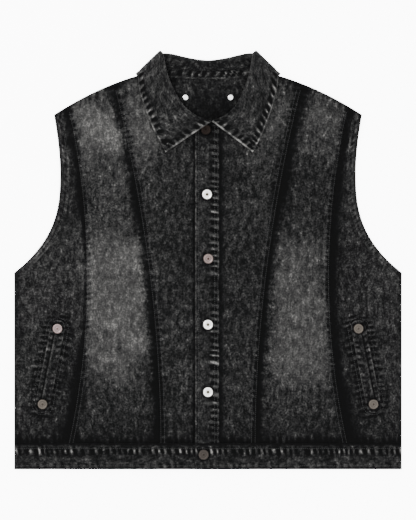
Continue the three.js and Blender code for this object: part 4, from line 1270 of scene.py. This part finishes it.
def threadTree():
    tree = bpy.data.node_groups.new("threadRow", "GeometryNodeTree")
    face = tree.interface
    face.new_socket("Geometry", in_out="INPUT", socket_type="NodeSocketGeometry")
    sizes = dict(pitch=0.0034, length=0.0013, width=0.00042, height=0.0003)
    for key, value in sizes.items():
        face.new_socket(key, in_out="INPUT", socket_type="NodeSocketFloat").default_value = value
    face.new_socket("thread", in_out="INPUT", socket_type="NodeSocketMaterial")
    face.new_socket("Geometry", in_out="OUTPUT", socket_type="NodeSocketGeometry")
    make = tree.nodes.new
    source, result = make("NodeGroupInput"), make("NodeGroupOutput")
    curve, resample = make("GeometryNodeMeshToCurve"), make("GeometryNodeResampleCurve")
    resample.mode = "LENGTH"
    tangent, align = make("GeometryNodeInputTangent"), make("FunctionNodeAlignRotationToVector")
    align.axis = "X"
    ball, size = make("GeometryNodeMeshUVSphere"), make("ShaderNodeCombineXYZ")
    setInputs(ball, {"Segments": 6, "Rings": 4, "Radius": 1.0})
    instance, real = make("GeometryNodeInstanceOnPoints"), make("GeometryNodeRealizeInstances")
    paint = make("GeometryNodeSetMaterial")
    links = [
        (source, "Geometry", curve, "Mesh"), (curve, "Curve", resample, "Curve"),
        (source, "pitch", resample, "Length"), (resample, "Curve", instance, "Points"),
        (tangent, "Tangent", align, "Vector"), (align, "Rotation", instance, "Rotation"),
        (source, "length", size, "X"), (source, "width", size, "Y"), (source, "height", size, "Z"),
        (size, "Vector", instance, "Scale"), (ball, "Mesh", instance, "Instance"),
        (instance, "Instances", real, "Geometry"), (real, "Geometry", paint, "Geometry"),
        (source, "thread", paint, "Material"), (paint, "Geometry", result, "Geometry"),
    ]
    for giver, output, taker, into in links:
        tree.links.new(giver.outputs[output], taker.inputs[into])
    return tree


threads = threadTree()


def stitchObject(name, lines, material, pitch=3.4, thick=0.42):
    points, edges = [], []
    for line in lines:
        start = len(points)
        points += [(px * mm, (py + hemY) * mm, pz * mm) for px, py, pz in line]
        edges += [(k, k + 1) for k in range(start, len(points) - 1)]
    mesh = bpy.data.meshes.new(name + "Path")
    mesh.from_pydata(points, edges, [])
    obj = addObject(name, mesh)
    modifier = obj.modifiers.new("threads", "NODES")
    modifier.node_group = threads
    ids = {item.name: item.identifier for item in threads.interface.items_tree if item.in_out == "INPUT"}
    modifier[ids["pitch"]] = pitch * mm
    modifier[ids["length"]] = 0.39 * pitch * mm
    modifier[ids["width"]] = thick * mm
    modifier[ids["height"]] = 0.75 * thick * mm
    modifier[ids["thread"]] = material
    made = bpy.data.meshes.new_from_object(obj.evaluated_get(bpy.context.evaluated_depsgraph_get()))
    obj.modifiers.remove(modifier)
    obj.data = made
    made.name = name
    made.polygons.foreach_set("use_smooth", [True] * len(made.polygons))
    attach(obj, "root")
    return obj


def onFront(x, y):  # points just proud of the front panels' outer side
    x, y = np.broadcast_arrays(np.asarray(x, float), np.asarray(y, float))
    return np.stack([x, y, frontShape(x, y) + frontDetail(x, y) + 0.12], -1)


def onPlacket(x, y):
    top = placketBottom(x, y) + cloth["placket"] + frontRelief(x, y) * 0.6
    return np.stack([0 * y + x, y, top + placketLook["rope"] * placketRow(x, y) - 0.05], -1)


def onBand(x, y, overlaps):
    high, _ = bandSurface(x, y, 1 if overlaps else -1)
    return np.stack([x, y, frontBandBottom(x, y, overlaps) + cloth["band"] + high + 0.1], -1)


def onBack(x, y, proud):
    return np.stack([x, y, lift(x, y) + proud + backRelief(x, y)], -1)


stitchLook = dict(
    front=dict(seams=((frontInnerSeam, 609), (frontOuterSeam, 574)), low=44, points=260),
    back=dict(seams=((backInnerSeam, 604), (backOuterSeam, 572)), low=46, points=240, rows=(2.4, 8.0)),
    placketRows=(placketLook["rowX"], -15.0, 15.6), placketSpan=(44, 553),
    bandEnd=309, bandRightEnd=-22, bandLeftStart=-19, aroundPocket=5.0, armholeFrom=4, armholeTop=564,
    patchRows=((597, 31), (557, 29)), labelInset=3,
)


def seamThreads(sign, look, rows):  # across and up, for each row along each seam
    lines = []
    for seam, topY in look["seams"]:
        y = np.linspace(look["low"], topY, look["points"])
        lines += [(sign * (seam(y) - row), y) for row in rows]
    return lines


def addStitches():
    look = stitchLook
    lines = []
    for sign in (-1, 1):
        lines += [onFront(*line) for line in seamThreads(sign, look["front"], panelLook["seamRows"])]
        for row in panelLook["armholeRows"]:
            y = np.linspace(cut["armpitY"] + look["armholeFrom"], look["armholeTop"], 160)
            lines.append(onFront(sign * (sideEdgeX(y) - row), y))
        lines.append(pocketOutline(sign, look["aroundPocket"]))
    stitchObject("frontStitches", lines, blackThread)
    y = np.linspace(*look["placketSpan"], 300)
    lines = [onPlacket(x, y) for x in look["placketRows"]]
    x = np.linspace(-look["bandEnd"], look["bandEnd"], 420)
    parts = ((False, x[x < look["bandRightEnd"]]), (True, x[x > look["bandLeftStart"]]))
    for row in bandLook["stitchRows"]:
        for overlaps, part in parts:
            lines.append(onBand(part, row + 0 * part, overlaps))
    stitchObject("bandStitches", lines, blackThread)
    lines = []
    for sign in (-1, 1):
        lines += [onBack(*line, 0.25) for line in seamThreads(sign, look["back"], look["back"]["rows"])]
        y = np.linspace(cut["armpitY"] + look["armholeFrom"], look["armholeTop"] - 2, 160)
        lines.append(onBack(sign * (sideEdgeX(y) - 4.2), y, 0.3))
    x = np.linspace(-307, 307, 400)
    row = bandLook["stitchRows"][0]
    lines.append(np.stack([x, row + 0 * x, lift(x, row) + 0.42], -1))
    for row, half in look["patchRows"]:
        x = np.linspace(-half, half, 60)
        lines.append(np.stack([x, row + 0 * x, 1.25 + 0 * x], -1))
    stitchObject("backStitches", lines, greyThread)
    inset = look["labelInset"]
    left, right = under["labelLeft"] + inset, under["labelRight"] - inset
    foot, top = under["labelLow"] + inset, under["labelHigh"] - inset
    corners = np.array([(left, foot), (right, foot), (right, top), (left, top), (left, foot)])
    shares = np.linspace(0, 1, 16)[:-1, None]
    border = np.concatenate([mix(a, b, shares) for a, b in zip(corners, corners[1:])])
    line = np.column_stack([border, np.full(len(border), 0.22)])
    stitchObject("labelStitches", [line], rustThread, pitch=3.0, thick=0.4)
    print("stitches made")


def pocketOutline(sign, off):
    reach = pocket["half"] + off
    turn = np.linspace(0, 2 * math.pi, 160)
    across = reach * np.cos(turn)
    along = np.where(np.sin(turn) > 0, pocketSlant, 0) + reach * np.sin(turn)
    along, across = (
        np.concatenate([np.linspace(a, b, 8)[:-1] for a, b in zip(line, line[1:])])
        for line in (along, across)
    )
    x = sign * (pocket["footX"] + pocketUx * along + pocketUy * across)
    y = pocket["footY"] + pocketUy * along - pocketUx * across
    return onFront(x, y)


# Studio

studio = dict(
    floor=(0.95, 0.95, 0.95), floorGlow=8.0, floorReach=4, floorZ=-0.0004,
    world=(0.96, 0.97, 0.98), worldPower=2.9,
    lights=dict(
        keyLight=dict(place=(-1.5, 1.2, 1.5), size=1.0, power=37.0),
        fillLight=dict(place=(1.6, -0.8, 2.0), size=1.8, power=12.5),
    ),
    lens=100, sensor=24, frameHeight=0.838,
)


def addStudio():
    mesh = bpy.data.meshes.new("floor")
    r, z = studio["floorReach"], studio["floorZ"]
    mesh.from_pydata([(-r, -r, z), (r, -r, z), (r, r, z), (-r, r, z)], [], [(0, 1, 2, 3)])
    floor = addObject("floor", mesh)
    material, _, shader = nodesOf("paleFloor")
    setInputs(shader, {"Base Color": (*studio["floor"], 1), "Roughness": 0.8, "Specular IOR Level": 0.1})
    setInputs(shader, {"Emission Color": (1, 1, 1, 1), "Emission Strength": studio["floorGlow"]})
    mesh.materials.append(material)
    world = bpy.data.worlds.new("studioWorld")
    bpy.context.scene.world = world
    world.use_nodes = True
    sky = {"Color": (*studio["world"], 1), "Strength": studio["worldPower"]}
    setInputs(world.node_tree.nodes["Background"], sky)
    for name, look in studio["lights"].items():
        light = bpy.data.lights.new(name, "AREA")
        light.size = look["size"]
        light.energy = look["power"]
        lamp = addObject(name, light)
        lamp.location = look["place"]
        lamp.rotation_euler = (-Vector(look["place"])).to_track_quat("-Z", "Y").to_euler()
    camera = bpy.data.cameras.new("camera")
    camera.lens = studio["lens"]
    camera.sensor_fit = "VERTICAL"
    camera.sensor_height = studio["sensor"]
    camera.clip_end = 30
    eye = addObject("camera", camera)
    eye.location = (0, 0, studio["frameHeight"] * studio["lens"] / studio["sensor"])
    bpy.context.scene.camera = eye
    print("studio made")


addStudio()
addBody()
addButtonStand()
addHemBand()
addCollar()
addPockets()
addFrontButtons()
addBackTrim()
addStitches()
